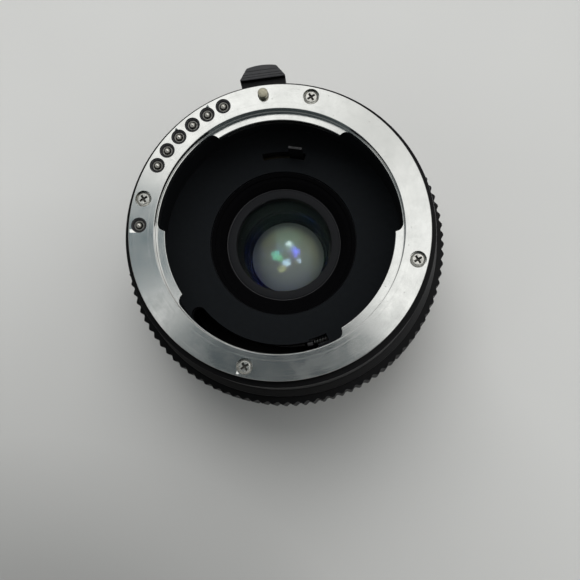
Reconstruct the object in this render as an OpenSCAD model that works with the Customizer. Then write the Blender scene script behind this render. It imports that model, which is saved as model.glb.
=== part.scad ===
// Camera teleconverter: a doubler that fits between a bayonet-mount camera and its lens.
// The optical axis is Z, the camera flange is the plane z = 0 and the lens side points up.
// The lens release lever is at +Y. Lengths are in millimetres and angles in degrees.

/* [Mount distances] */
// Distance from the camera flange to the lens flange
flange_to_flange = 36; // [33:0.5:60]
// Depth of the chamber floor below the lens flange
chamber_depth = 12.3; // [11.5:0.1:15]

/* [Lens-side bayonet] */
// Bore of the throat that receives the lens
throat_d = 48; // [47:0.1:54]
// Width of the bright ring, from the throat to its rim
ring_w = 5; // [4.7:0.1:6]
// Thickness of the ring's flange
ring_t = 2.2; // [1.8:0.1:3]
// Reach of each lug into the throat
lug_w = 1.75; // [1.2:0.05:2]
// Depth of the lugs' upper face below the flange
lug_drop = 1.75; // [1.5:0.05:2]
// Thickness of a lug
lug_t = 1.4; // [1:0.1:1.8]
// Radius of the cutter that milled the gaps between the lugs
mill_r = 1.6; // [0.6:0.1:1.8]
// Radius of a mount screw's head
screw_head_r = 1.45; // [1.2:0.05:1.5]

/* [Contacts] */
// Azimuth of the first contact of the row
contact_az0 = 107.4; // [106:0.1:109]
// Angle from one contact of the row to the next
contact_step = 7.5; // [7.3:0.1:7.9]
// Radius of a contact's insulating bush
bush_r = 1.4; // [1.3:0.05:1.5]
// Radius of a sprung contact's nose
nose_r = 0.56; // [0.44:0.02:0.8]
// Thickness of the contact boards
board_t = 0.8; // [0.6:0.1:1]

/* [Barrel and grip] */
// Width of the barrel's lip around the bright ring
lip_w = 1.1; // [0.5:0.1:1.5]
// Wall of the front barrel
barrel_wall = 1.4; // [1.1:0.1:1.6]
// Thickness of the deck under the bright ring
deck_t = 2.8; // [2.7:0.1:3.2]
// Depth of the cone's upper edge below the lens flange
shoulder_drop = 11.6; // [11.4:0.1:13]
// Height of the cone
cone_h = 1.7; // [1:0.1:2.5]
// Growth in radius over the cone
cone_rise = 1.2; // [1:0.1:2.5]
// Height of the plain band under the cone
band_h = 1.6; // [1.4:0.1:3]
// Height that the ridges' tips stand out from the plain band
grip_stand = 1.6; // [1:0.1:2]
// Number of ridges on the grip
ridges = 100; // [80:1:140]
// Depth of a ridge
ridge_h = 0.5; // [0.4:0.05:1]
// Wall of the grip ring under the ridges
grip_wall = 2.2; // [1.8:0.1:2.4]

/* [Camera side] */
// Thickness of the camera-side flange
rear_ring_t = 2; // [1.8:0.1:2.6]
// Height of the rear barrel
rear_band_h = 7.1; // [6:0.1:9]
// Thickness of the rear barrel's deck
rear_deck_t = 2.2; // [2:0.1:2.8]
// Wall of the bayonet spigot
spigot_wall = 1.35; // [1.1:0.05:1.6]
// Length of the bayonet spigot below the camera flange
spigot_len = 4.5; // [4:0.1:5.5]
// Thickness of a camera-side lug
rear_lug_t = 1.3; // [1:0.1:1.6]
// Length of the lever guard below the camera flange
guard_len = 7; // [6:0.1:8]

/* [Release] */
// Travel of the release lever and lock pin
release_travel = 2; // [1.8:0.1:2.2]
// Radius of the lock pin
pin_r = 1; // [0.9:0.05:1.2]
// Height of the lock pin above the lens flange
pin_proud = 1.6; // [1:0.1:1.7]
// Half width of the lever where it is widest
lever_half_w = 4.6; // [3.6:0.1:6]
// Reach of the lever out from the barrel
lever_reach = 5.2; // [4:0.1:8]

/* [Linkage and optics] */
// Turn of the stop-down lever
stop_down_turn = 16; // [8:1:20]
// Turn of the aperture coupling lever
coupling_turn = 60; // [40:1:62]
// Diameter of the glass elements
element_d = 23; // [20:0.1:23.6]
// Wall of the lens cell
cell_wall = 2; // [1.6:0.1:2.4]
// Wall of the inner frame's tube
tube_wall = 1; // [0.8:0.1:1.4]
// Thickness of the baffle plate
baffle_t = 1; // [0.8:0.1:1.2]
// Thickness of the inner frame's flange
frame_t = 1.6; // [1.5:0.1:2]

/* [Hidden] */
$fn = 96;

// Clearances: bonded or screwed pieces, pieces that slide, and pieces that pass freely
fit = 0.02;
seat = 0.05;
slide = 0.06;
gap = 0.1;
free = 0.3;
// Overshoot of a cutter past the face that it opens, and overlap of shapes that fuse
cut = 1;
bite = 0.2;
full_turn = 360;

// Radii of the mount, from the throat outwards
throat_r = throat_d / 2;
lug_r = throat_r - lug_w;
ledge_w = 0.2;
relief_w = 0.45;
collar_w = 1;
collar_r = throat_r + collar_w;
ring_r = throat_r + ring_w;
ring_chamfer = 0.2;
pitch_r = (collar_r + ring_r) / 2;
wall_in = throat_r + gap;
wall_out = collar_r - seat;

// Radii of the barrel
barrel_r = ring_r + lip_w;
barrel_chamfer = 0.3;
deck_in = collar_r + gap;
cavity_r = barrel_r - barrel_wall;
tail_wall = 2;
bore_r = cavity_r - tail_wall;
shoulder_r = barrel_r + cone_rise;
tip_r = shoulder_r + grip_stand;
root_r = tip_r - ridge_h;
grip_in = root_r - grip_wall;
sleeve_r = grip_in - seat;
tail_r = cavity_r - gap;
groove_w = 0.6;
groove_deep = 0.35;
rear_ring_extra = 0.5;
rear_ring_r = ring_r + rear_ring_extra;
rear_top_lip = 0.8;
rear_top_r = grip_in + rear_top_lip;
rear_low_lip = 0.2;
rear_low_r = rear_ring_r + rear_low_lip;
rear_bore_step = 0.6;
rear_bore_r = throat_r + rear_bore_step;

// Levels, from the lens flange down to the camera flange
zf = flange_to_flange;
z_ring = zf - ring_t;
z_deck = z_ring - deck_t;
z_lug_top = zf - lug_drop;
z_lug = z_lug_top - lug_t;
z_floor = zf - chamber_depth;
z_baffle = z_floor - baffle_t;
z_frame = z_baffle - frame_t;
z_cone_top = zf - shoulder_drop;
z_cone = z_cone_top - cone_h;
z_grip_top = z_cone - band_h;
z_grip = rear_ring_t + rear_band_h;
z_rear_deck = rear_ring_t + rear_deck_t;
z_rear_board = z_rear_deck + board_t;
board_room = 0.2;
z_tail = z_rear_board + board_room;

// Azimuths of the lugs, screws and contacts
lug_spans = [[51.4, 116.1], [173, 206.9], [295.4, 352.3]];
rear_lug_margin = 6.5;
front_screw_az = [70, 160, 250, 340];
rear_screw_az = [63, 153, 243, 333];
lone_contact_az = 171.3;
contact_az = concat([for (k = [0 : 5]) contact_az0 + k * contact_step], lone_contact_az);
lock_az = 90;
board_margin = 4;
board_az = [contact_az0 - board_margin, lone_contact_az + board_margin];
flex_az = [120, 130];
flex_margin = 3;
flex_t = 0.15;
flex_room = 0.25;
flex_slot_w = 1.4;
frame_screw_az = [40, 160, 280];
third_az = [30, 150, 270];
bead_az = 152;

// Mount screws
screw_sunk = 0.15;
screw_head_h = 0.9;
screw_r = 0.85;
screw_l = 3.55;
head_room = 0.2;
counterbore_r = screw_head_r + head_room;
counterbore_deep = screw_sunk + screw_head_h;
screw_hole_r = screw_r + gap;

// Sprung contacts
bush_sunk = 0.25;
nose_hole_r = nose_r + slide;
shoulder_w = 0.22;
shoulder_pin_r = nose_r + shoulder_w;
nose_drop = 2.3;
z_shoulder = zf - nose_drop;
shoulder_h = 1;
dome_step = 0.04;
dome_r = nose_r - dome_step;
dome_proud = 0.3;
dish_r = 1.2;
dish_deep = 0.45;
contact_wire = 0.2;
contact_coils = 2;
rear_contact_r = 0.9;
rear_bush_w = 0.3;
rear_bush_r = rear_contact_r + rear_bush_w;

// Release: slider, lever and lock pin
slider_t = 1.4;
slider_half_w = 4;
stem_half_w = 2.3;
stem_room = 0.2;
slider_drop = 3;
z_slider = z_deck - slider_drop;
z_slider_top = z_slider + slider_t;
slider_room_in = 0.4;
slider_in = collar_r + slider_room_in;
slider_room_out = 0.2;
slider_out = cavity_r - slider_room_out;
lever_in = barrel_r + free;
lever_end = barrel_r + lever_reach;
stem_end = lever_in + 0.6 * (lever_end - lever_in);
lever_low = 1;
lever_high = 1.8;
lever_step = 1.1;
z_lever = z_slider - lever_low;
z_lever_top = z_slider_top + lever_high;
lever_step_y = barrel_r + 0.45 * lever_reach;
tail_step = 0.3;
tail_pin_r = pin_r - tail_step;
tail_pin_l = 2;
lever_screw_y = (lever_in + stem_end) / 2;
lever_screw_head_r = 1.1;
lever_screw_r = 0.6;

// Linkage rings on the inner frame's tube, and their levers
edge_r = element_d / 2;
glass_bore_r = edge_r + gap;
cell_r = glass_bore_r + cell_wall;
cell_flange_w = 1.3;
cell_flange_r = cell_r + cell_flange_w;
tube_in = cell_r + gap;
tube_r = tube_in + tube_wall;
baffle_in = cell_flange_r + gap;
frame_r = cavity_r - gap;
lever_t = 0.8;
lever_room = 0.9;
guard_wall = 0.6;
spigot_out = lug_r - free;
spigot_in = spigot_out - spigot_wall;
guard_out = spigot_in - gap;
guard_in = guard_out - guard_wall;
arm_out = guard_in - lever_room;
arm_in = arm_out - lever_t;
coupling_room = 1.95;
coupling_out = wall_in - coupling_room;
coupling_in = coupling_out - lever_t;
spring_r = coupling_in;
stop_ring_lip = 0.8;
stop_ring_r = arm_out + stop_ring_lip;
thin_ring_r = arm_in - free;
ring_band = 1.1;
bearing_r = thin_ring_r - ring_band;
stop_w = 2.8;
coupling_w = 2.4;
coupling_tip_w = 1.2;
stop_az = 75;
coupling_az = 278.2;
ring_h = 1;
spacer_h = 0.4;
clip_h = 0.6;
clip_deep = 0.3;
clip_land = 0.8;
z_stop_top = z_frame - gap;
z_stop = z_stop_top - ring_h;
z_spacer_top = z_stop - seat;
z_spacer = z_spacer_top - spacer_h;
z_coupling_top = z_spacer - seat;
z_coupling = z_coupling_top - ring_h;
z_clip_top = z_coupling - seat;
z_clip = z_clip_top - clip_h;
z_land = z_clip - fit - clip_land;
stop_tip_drop = 7;
z_stop_tip = zf - stop_tip_drop;
coupling_tip_drop = 11.5;
z_coupling_tip = zf - coupling_tip_drop;
tip_inset = 0.7;
z_lever_tip = tip_inset - guard_len;
z_tube = z_rear_deck;
stop_half = asin(stop_w / 2 / arm_in);
coupling_half = asin(coupling_tip_w / 2 / coupling_in);
rear_coupling_half = asin(coupling_w / 2 / arm_in);
slot_margin = 1.2;
slot_in = arm_in - free;
slot_out = arm_out + free;
stop_slot = [stop_az - stop_half - slot_margin, stop_az + stop_down_turn + stop_half + slot_margin];
coupling_slot = [coupling_az - coupling_turn - coupling_half - 2 * slot_margin,
                 coupling_az + coupling_half + 2 * slot_margin];
spring_window = 6;
rear_coupling_slot = [coupling_az - coupling_turn - rear_coupling_half - slot_margin,
                      coupling_az + rear_coupling_half + slot_margin];
coupling_slot_room = 0.3;
coupling_slot_in = coupling_in - coupling_slot_room;
coupling_slot_mid = (coupling_slot_in + wall_in) / 2;

// Extension springs of the linkage
coil_wire = 0.25;
coupling_coil_r = 0.42;
coupling_coils = 25;
coupling_post_az = 345;
spring_groove_w = 1.4;
spring_groove_deep = 1.2;
spring_end_az = [0.5, 1.6];
groove_end_az = [1, 2];
z_coupling_spring = z_baffle - spring_groove_deep / 2;
post_r = 0.35;
stop_coil_r = 0.5;
stop_coils = 13;
ear_az = 128;
ear_w = 2.4;
ear_l = 2.2;
ear_r = stop_ring_r + ear_l;
ear_pin_l = 1.4;
ear_pin_r = stop_ring_r + ear_pin_l;
stop_post_out = 2.2;
stop_post_r = ear_pin_r + stop_post_out;
stop_post_az = 92;
hang_l = 1;
z_stop_spring = z_stop - hang_l / 2;

// Optics: radii of the surfaces from the lens side down, and the steps between their vertices
curve = [70, 22, 32, -32, 80, -34, 30, 40, -34];
step = [1.5, 4.2, 5.2, 1.5, 3, 1.4, 1.2, 4.4];
rim_w = 1.3;
rim_r = edge_r - rim_w;
rim_bite = 0.1;
cement = 0.02;
glass_drop = 2.42;
retainer_h = 1.25;
retainer_w = 1.75;
cell_lip = 0.6;
cell_step_w = 0.9;
cell_step = 0.3;
cell_band_w = 0.8;
thread_deep = 0.3;
z_cell_top = z_baffle + cell_lip;
z_cell = rim_z(8) - retainer_h - cut;

// Camera side
rear_lug_room = 0.15;
rear_lug_r = throat_r - rear_lug_room;
inner_guard_room = 0.9;
inner_guard_wall = 0.7;
inner_guard_in = cell_r + inner_guard_room;
inner_guard_out = inner_guard_in + inner_guard_wall;
inner_guard_len = 3.5;
web_t = 1.2;
web_z = 0.2;
shroud_flange_t = 1.2;
shroud_room = 0.2;
shroud_flange_r = rear_bore_r - shroud_room;
shroud_screw_pitch = (guard_out + shroud_flange_r) / 2;
shroud_screw_r = 0.6;
shroud_screw_head_r = 1;
lock_slot_w = 2.4;
lock_slot_l = 3.6;
lock_slot_deep = 1.6;

// Leaf springs, frame screws, barrel screws and index beads
leaf_t = 0.3;
leaf_drop = 1.35;
leaf_inset = 0.45;
leaf_bite = 0.45;
leaf_margin = 5;
frame_screw_r = 0.6;
frame_screw_head_r = 0.95;
frame_screw_head_h = 0.7;
frame_screw_l = 3;
frame_screw_pitch = (bore_r + cavity_r) / 2;
barrel_screw_r = 0.8;
z_barrel_screw = (z_tail + z_grip) / 2;
bead_r = 0.9;
bead_lift = 0.15;
bead_stem_r = 0.5;
bead_stem_l = 0.9;
z_front_bead = (z_ring + z_cone_top) / 2;
z_rear_bead = (rear_ring_t + z_grip) / 2;

// Basic turned and milled shapes
module ring(r_in, r_out, z0, z1) {
    rotate_extrude() translate([r_in, z0]) square([r_out - r_in, z1 - z0]);
}

module arc(r_in, r_out, z0, z1, span) {
    rotate([0, 0, span[0]]) rotate_extrude(angle = span[1] - span[0])
        translate([r_in, z0]) square([r_out - r_in, z1 - z0]);
}

module rod(r, z0, z1) {
    translate([0, 0, z0]) cylinder(r = r, h = z1 - z0);
}

module bar(r_in, r_out, w, z0, z1) {
    translate([r_in, -w / 2, z0]) cube([r_out - r_in, w, z1 - z0]);
}

module at(r, az) {
    rotate([0, 0, az]) translate([r, 0, 0]) children();
}

// A cross-head screw whose head's top is at the origin and whose shank points down
module cross_screw(head_r, head_h, shank_r, shank_l) {
    recess_l = 1.3 * head_r;
    recess_w = 0.3 * head_r;
    recess_deep = 0.6 * head_h;
    difference() {
        union() {
            rod(head_r, -head_h, 0);
            rod(shank_r, -head_h - shank_l, -head_h);
        }
        for (turn = [45, 135]) rotate([0, 0, turn])
            bar(-recess_l / 2, recess_l / 2, recess_w, -recess_deep, cut);
    }
}

// A wire of six sides swept along a path; outs are directions that lead away from the coil's axis
function unit(v) = v / norm(v);

module wire(path, outs, r) {
    sides = 6;
    last = len(path) - 1;
    points = [for (i = [0 : last])
        let (t = unit(path[min(i + 1, last)] - path[max(i - 1, 0)]),
             e = unit(outs[i] - (outs[i] * t) * t), f = cross(t, e))
        for (j = [0 : sides - 1]) path[i] + r * (cos(360 * j / sides) * e + sin(360 * j / sides) * f)];
    faces = concat(
        [for (i = [0 : last - 1], j = [0 : sides - 1]) let (k = (j + 1) % sides)
            [i * sides + j, (i + 1) * sides + k, i * sides + k]],
        [for (i = [0 : last - 1], j = [0 : sides - 1]) let (k = (j + 1) % sides)
            [i * sides + j, (i + 1) * sides + j, (i + 1) * sides + k]],
        [for (j = [1 : sides - 2]) [0, j, j + 1]],
        [for (j = [1 : sides - 2]) [last * sides, last * sides + j + 1, last * sides + j]]);
    polyhedron(points, faces);
}

// Coils: the axis points, the directions away from them, and the wire's path around them
coil_rings = 8;
function coil_outs(us, vs) = [for (i = [0 : len(us) - 1])
    cos(360 * i / coil_rings) * us[i] + sin(360 * i / coil_rings) * vs[i]];
function coil_path(axis, outs, r, ramp) = let (last = len(axis) - 1) [for (i = [0 : last])
    axis[i] + r * min(1, (i + 1) / (ramp + 1), (last - i + 1) / (ramp + 1)) * outs[i]];
function least_gap(path, wire_d) = min([for (i = [0 : len(path) - 1], j = [i + 5 : 1 : len(path) - 1])
    norm(path[i] - path[j])]) - wire_d;

module coil(axis, us, vs, r, wire_d, ramp) {
    outs = coil_outs(us, vs);
    path = coil_path(axis, outs, r, ramp);
    echo(least_gap_mm = least_gap(path, wire_d));
    wire(path, outs, wire_d / 2);
}

module straight_coil(p0, p1, r, wire_d, coils, ramp) {
    steps = ceil(coils * coil_rings);
    d = unit(p1 - p0);
    u = abs(d[2]) > 0.9 ? [1, 0, 0] : unit(cross(d, [0, 0, 1]));
    axis = [for (i = [0 : steps]) p0 + (p1 - p0) * i / steps];
    coil(axis, [for (p = axis) u], [for (p = axis) cross(d, u)], r, wire_d, ramp);
}

module arc_coil(axis_r, z, span, r, wire_d, coils, ramp) {
    steps = coils * coil_rings;
    azs = [for (i = [0 : steps]) span[0] + (span[1] - span[0]) * i / steps];
    us = [for (a = azs) [cos(a), sin(a), 0]];
    coil([for (u = us) axis_r * u + [0, 0, z]], us, [for (u = us) [0, 0, 1]], r, wire_d, ramp);
}

function polar(r, az, z) = [r * cos(az), r * sin(az), z];

// The lens-side bayonet ring: a turned flange and collar with three milled lugs
module lug_gap(a0, a1) {
    mill_path_r = throat_r - ledge_w - mill_r;
    turn = asin(mill_r / mill_path_r);
    low = z_lug - cut;
    high = zf + cut;
    arc(lug_r - cut, throat_r + relief_w, low, z_lug_top + fit, [a0 + turn, a1 - turn]);
    for (a = [a0 + turn, a1 - turn]) rotate([0, 0, a]) {
        translate([mill_path_r, 0, 0]) rod(mill_r, low, high);
        bar(lug_r - cut, mill_path_r, 2 * mill_r, low, high);
    }
}

module front_mount_ring() {
    color("gainsboro") difference() {
        rotate_extrude() polygon([[lug_r, z_lug], [collar_r, z_lug], [collar_r, z_ring],
            [ring_r, z_ring], [ring_r, zf - ring_chamfer], [ring_r - ring_chamfer, zf],
            [throat_r, zf], [throat_r, z_lug_top], [lug_r, z_lug_top]]);
        lug_gap(lug_spans[0][1], lug_spans[1][0]);
        lug_gap(lug_spans[1][1], lug_spans[2][0]);
        lug_gap(lug_spans[2][1], lug_spans[0][0] + full_turn);
        for (az = front_screw_az) at(pitch_r, az) {
            rod(screw_hole_r, z_ring - cut, zf);
            rod(counterbore_r, zf - counterbore_deep, zf + cut);
        }
        for (az = contact_az) at(pitch_r, az) rod(bush_r + fit, z_ring - cut, zf + cut);
        at(pitch_r, lock_az) rod(pin_r + slide, z_ring - cut, zf + cut);
    }
}

module front_mount_screws() {
    color("silver") for (az = front_screw_az) at(pitch_r, az) translate([0, 0, zf - screw_sunk])
        cross_screw(screw_head_r, screw_head_h, screw_r, screw_l);
}

// Leaf springs under the lugs, held in a groove of the chamber wall
module bayonet_leaf_springs() {
    top = z_lug - leaf_drop;
    color("lightsteelblue") for (span = lug_spans)
        arc(lug_r + leaf_inset, wall_in + leaf_bite, top - leaf_t, top,
            [span[0] + leaf_margin, span[1] - leaf_margin]);
}

// Sprung contacts in insulating bushes, with the board that they press on
module contact_bushes() {
    dish_top = zf - bush_sunk;
    dish_low = dish_top - dish_deep;
    color("dimgray") for (az = contact_az) at(pitch_r, az) difference() {
        rod(bush_r, z_deck, zf - bush_sunk);
        rod(nose_hole_r, z_deck - cut, zf);
        rod(shoulder_pin_r + slide, z_deck - cut, z_shoulder + seat);
        rotate_extrude() polygon([[0, dish_low], [nose_hole_r + seat, dish_low], [dish_r, dish_top],
            [dish_r, zf], [0, zf]]);
    }
}

module contact_pin(k) {
    color("lightyellow") at(pitch_r, contact_az[k - 1]) {
        rod(shoulder_pin_r, z_shoulder - shoulder_h, z_shoulder);
        rod(nose_r, z_shoulder, zf - dome_r + dome_proud);
        translate([0, 0, zf - dome_r + dome_proud]) intersection() {
            sphere(r = dome_r);
            rod(dome_r + cut, 0, dome_r + cut);
        }
    }
}

module contact_springs() {
    low = z_deck + contact_wire / 2 + fit;
    high = z_shoulder - shoulder_h - contact_wire / 2 - fit;
    color("silver") for (az = contact_az)
        straight_coil(polar(pitch_r, az, low), polar(pitch_r, az, high),
            shoulder_pin_r - contact_wire, contact_wire, contact_coils, 0);
}

module contact_board() {
    color("darkgreen") arc(wall_out + board_room, cavity_r - board_room, z_deck - board_t, z_deck,
        board_az);
}

module flex_strip() {
    flex_in = wall_out + flex_room;
    color("darkorange") arc(flex_in, flex_in + flex_t, z_rear_board, z_deck - board_t, flex_az);
}

// The barrel: front shell with deck and cone, ridged grip, rear shell and its set screws
module front_barrel() {
    color("#1c1c1d") difference() {
        rotate_extrude() polygon([[deck_in, z_deck], [deck_in, z_ring],
            [barrel_r - barrel_chamfer, z_ring], [barrel_r, z_ring - barrel_chamfer],
            [barrel_r, z_cone_top + groove_w], [barrel_r - groove_deep, z_cone_top + groove_w],
            [barrel_r - groove_deep, z_cone_top], [barrel_r, z_cone_top],
            [shoulder_r, z_cone], [shoulder_r, z_grip_top], [sleeve_r, z_grip_top],
            [sleeve_r, z_grip], [tail_r, z_grip], [tail_r, z_tail], [bore_r, z_tail],
            [bore_r, z_frame], [cavity_r, z_frame], [cavity_r, z_deck]]);
        for (az = front_screw_az) at(pitch_r, az) rod(screw_r + fit, z_deck - cut, z_ring + cut);
        for (az = contact_az) at(pitch_r, az) rod(bush_r + fit, z_deck - cut, z_ring + cut);
        at(pitch_r, lock_az) rod(pin_r + slide, z_deck - cut, z_ring + cut);
        for (az = frame_screw_az) at(frame_screw_pitch, az)
            rod(frame_screw_r + fit, z_frame - frame_screw_l - free, z_frame + cut);
        for (az = third_az) rotate([0, 0, az]) translate([0, 0, z_barrel_screw]) rotate([0, 90, 0])
            rod(barrel_screw_r + fit, bore_r - cut, tail_r + cut);
        rotate([0, 0, bead_az]) translate([0, 0, z_front_bead]) rotate([0, 90, 0])
            rod(bead_stem_r + fit, cavity_r - cut, barrel_r + cut);
        rotate([0, 0, lock_az]) bar(cavity_r - cut, barrel_r + cut, 2 * (stem_half_w + stem_room),
            z_slider - release_travel - free, z_slider_top + free);
    }
}

module grip_ring() {
    tooth = 360 / ridges;
    land = 0.12;
    bevel = 0.4 * ridge_h;
    outline = [for (i = [0 : ridges - 1])
        each [[tip_r, i - land], [tip_r, i + land], [root_r, i + 0.5]]];
    color("#161617") difference() {
        translate([0, 0, z_grip]) linear_extrude(z_grip_top - z_grip)
            polygon([for (p = outline) p[0] * [cos(p[1] * tooth), sin(p[1] * tooth)]]);
        rod(grip_in, z_grip - cut, z_grip_top + cut);
        rotate_extrude() for (end = [[z_grip_top, -1], [z_grip, 1]])
            polygon([[tip_r - bevel, end[0]], [tip_r + cut, end[0] + end[1] * (bevel + cut)],
                [tip_r + cut, end[0] - end[1] * cut], [tip_r - bevel, end[0] - end[1] * cut]]);
    }
}

module rear_barrel() {
    color("#1c1c1d") difference() {
        rotate_extrude() polygon([[rear_bore_r, rear_ring_t], [rear_low_r, rear_ring_t],
            [rear_top_r, z_grip], [tail_r + seat, z_grip], [tail_r + seat, z_rear_deck],
            [rear_bore_r, z_rear_deck]]);
        for (az = rear_screw_az) at(pitch_r, az) rod(screw_r + fit, rear_ring_t - cut, z_rear_deck + cut);
        for (az = contact_az) at(pitch_r, az) rod(rear_bush_r + fit, rear_ring_t - cut, z_rear_deck + cut);
        for (az = third_az) rotate([0, 0, az]) translate([0, 0, z_barrel_screw]) rotate([0, 90, 0])
            rod(barrel_screw_r + fit, tail_r - cut, rear_top_r + cut);
        rotate([0, 0, bead_az]) translate([0, 0, z_rear_bead]) rotate([0, 90, 0])
            rod(bead_stem_r + fit, tail_r, rear_top_r + cut);
    }
}

module barrel_screws() {
    slot_deep = 0.5;
    slot_w = 0.35;
    end_r = min(rear_low_r, rear_top_r) - gap;
    color("dimgray") for (az = third_az) rotate([0, 0, az]) translate([0, 0, z_barrel_screw])
        difference() {
            rotate([0, 90, 0]) rod(barrel_screw_r, bore_r + free, end_r);
            bar(end_r - slot_deep, end_r + cut, 3 * barrel_screw_r, -slot_w / 2, slot_w / 2);
        }
}

module index_bead(surface_r, z) {
    rotate([0, 0, bead_az]) translate([surface_r, 0, z]) rotate([0, 90, 0]) {
        rod(bead_stem_r, -bead_stem_l, 0);
        intersection() {
            sphere(r = bead_r);
            rod(bead_r + cut, bead_lift, bead_r + cut);
        }
        rod(bead_stem_r, 0, bead_lift + bite);
    }
}

module index_beads() {
    color("firebrick") {
        index_bead(barrel_r, z_front_bead);
        index_bead((rear_low_r + rear_top_r) / 2, z_rear_bead);
    }
}

// The lens release: pin and lever ride on one slider, which a spring pushes up
module lock_pin() {
    color("wheat") at(pitch_r, lock_az) {
        rod(pin_r, z_slider_top, zf + pin_proud);
        rod(tail_pin_r, z_slider - tail_pin_l, z_slider_top);
    }
}

module lock_spring() {
    spring_wire = 0.3;
    spring_coils = 6;
    inset = spring_wire / 2 + fit;
    color("silver") straight_coil(polar(pitch_r, lock_az, z_baffle + inset),
        polar(pitch_r, lock_az, z_slider - inset), tail_pin_r + spring_wire + seat, spring_wire,
        spring_coils, 0);
}

module release_slider() {
    color("gray") difference() {
        translate([0, 0, z_slider]) linear_extrude(slider_t) {
            intersection() {
                difference() {
                    circle(r = slider_out);
                    circle(r = slider_in);
                }
                translate([-slider_half_w, 0]) square([2 * slider_half_w, slider_out]);
            }
            translate([-stem_half_w, pitch_r]) square([2 * stem_half_w, stem_end - pitch_r]);
        }
        at(pitch_r, lock_az) rod(tail_pin_r + fit, z_slider - cut, z_slider_top + cut);
        translate([0, lever_screw_y, 0]) rod(lever_screw_r + fit, z_slider - cut, z_slider_top + cut);
    }
}

// The moulded thumb lever: wings that narrow to a round end, a step near the barrel and fine ridges
module release_lever() {
    neck_half_w = 0.9 * lever_half_w;
    end_half_w = 0.6 * lever_half_w;
    crown_r = 2.6 * lever_half_w;
    wing_l = 0.3;
    ridge_count = 2;
    ridge_w = 0.25;
    ridge_margin = 0.5;
    ridge_first = lever_step_y + ridge_margin;
    ridge_pitch = (lever_end - ridge_margin - ridge_first) / ridge_count;
    color("#202022") difference() {
        translate([0, 0, z_lever]) linear_extrude(z_lever_top - z_lever) intersection() {
            polygon([[-neck_half_w, barrel_r - cut], [neck_half_w, barrel_r - cut],
                [lever_half_w, lever_step_y], [lever_half_w, lever_step_y + wing_l],
                [end_half_w, lever_end], [-end_half_w, lever_end],
                [-lever_half_w, lever_step_y + wing_l], [-lever_half_w, lever_step_y]]);
            translate([0, lever_end - crown_r]) circle(r = crown_r);
        }
        rod(lever_in, z_lever - cut, z_lever_top + cut);
        translate([-lever_half_w - cut, 0, z_lever_top - lever_step])
            cube([2 * lever_half_w + 2 * cut, lever_step_y, lever_step + cut]);
        for (i = [0 : ridge_count - 1])
            translate([-lever_half_w - cut, ridge_first + i * ridge_pitch, z_lever_top - ridge_w / 2])
                cube([2 * lever_half_w + 2 * cut, ridge_w, cut]);
        translate([-stem_half_w - seat, 0, z_slider - fit])
            cube([2 * stem_half_w + 2 * seat, stem_end + seat, slider_t + 2 * fit]);
        translate([0, lever_screw_y, 0]) {
            rod(lever_screw_r + fit, z_lever - cut, z_slider_top);
            rod(lever_screw_head_r + fit, z_lever - cut, z_lever + lever_low / 2);
        }
    }
}

module lever_screw() {
    head_h = lever_low / 2;
    color("silver") translate([0, lever_screw_y, z_lever]) mirror([0, 0, 1])
        cross_screw(lever_screw_head_r, head_h, lever_screw_r, lever_low - head_h + slider_t - gap);
}

// The lens chamber: blackened wall and baffle plate, held between the ring and the inner frame
module chamber_wall() {
    leaf_top = z_lug - leaf_drop + seat;
    color("#101011") difference() {
        ring(wall_in, wall_out, z_floor, z_lug);
        ring(wall_in - cut, wall_in + leaf_bite + seat, leaf_top - leaf_t - 2 * seat, leaf_top);
    }
}

// The milled slot of the coupling lever, round at the end where the lever's travel stops
module coupling_cut(z0, z1, span) {
    arc(coupling_slot_in, wall_in, z0, z1, span);
    at(coupling_slot_mid, span[0]) rod(wall_in - coupling_slot_mid, z0, z1);
}

module baffle_plate() {
    color("#0c0c0d") difference() {
        ring(baffle_in, wall_out, z_baffle, z_floor);
        arc(slot_in, slot_out, z_baffle - cut, z_floor + cut, stop_slot);
        coupling_cut(z_baffle - cut, z_floor + cut, coupling_slot);
        arc(spring_r - spring_groove_w / 2, spring_r + spring_groove_w / 2 + bite, z_baffle - cut,
            z_floor + cut, [coupling_az, coupling_slot[1] + spring_window]);
    }
}

module inner_frame() {
    z_groove = z_baffle - spring_groove_deep;
    color("#242425") {
        difference() {
            rotate_extrude() polygon([[tube_in, z_tube], [tube_r, z_tube], [tube_r, z_land],
                [bearing_r, z_land], [bearing_r, z_clip - fit], [bearing_r - clip_deep, z_clip - fit],
                [bearing_r - clip_deep, z_clip_top + fit], [bearing_r, z_clip_top + fit],
                [bearing_r, z_frame], [frame_r, z_frame], [frame_r, z_baffle], [tube_in, z_baffle]]);
            arc(slot_in, slot_out, z_frame - cut, z_baffle + cut, stop_slot);
            coupling_cut(z_frame - cut, z_baffle + cut, coupling_slot);
            arc(spring_r - spring_groove_w / 2, spring_r + spring_groove_w / 2, z_groove,
                z_baffle + cut, [coupling_slot[1] - groove_end_az[0], coupling_post_az + groove_end_az[1]]);
            arc(wall_out, wall_out + flex_slot_w, z_frame - cut, z_baffle + cut,
                flex_az + flex_margin * [-1, 1]);
            for (az = frame_screw_az) at(frame_screw_pitch, az)
                rod(frame_screw_r + gap, z_frame - cut, z_baffle + cut);
        }
        at(spring_r, coupling_post_az) rod(post_r, z_groove - bite, z_baffle - gap);
        at(stop_post_r, stop_post_az) rod(post_r, z_stop - hang_l, z_frame + bite);
    }
}

module frame_screws() {
    color("silver") for (az = frame_screw_az) at(frame_screw_pitch, az)
        translate([0, 0, z_baffle + frame_screw_head_h])
            cross_screw(frame_screw_head_r, frame_screw_head_h, frame_screw_r, frame_t + frame_screw_l);
}

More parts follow.
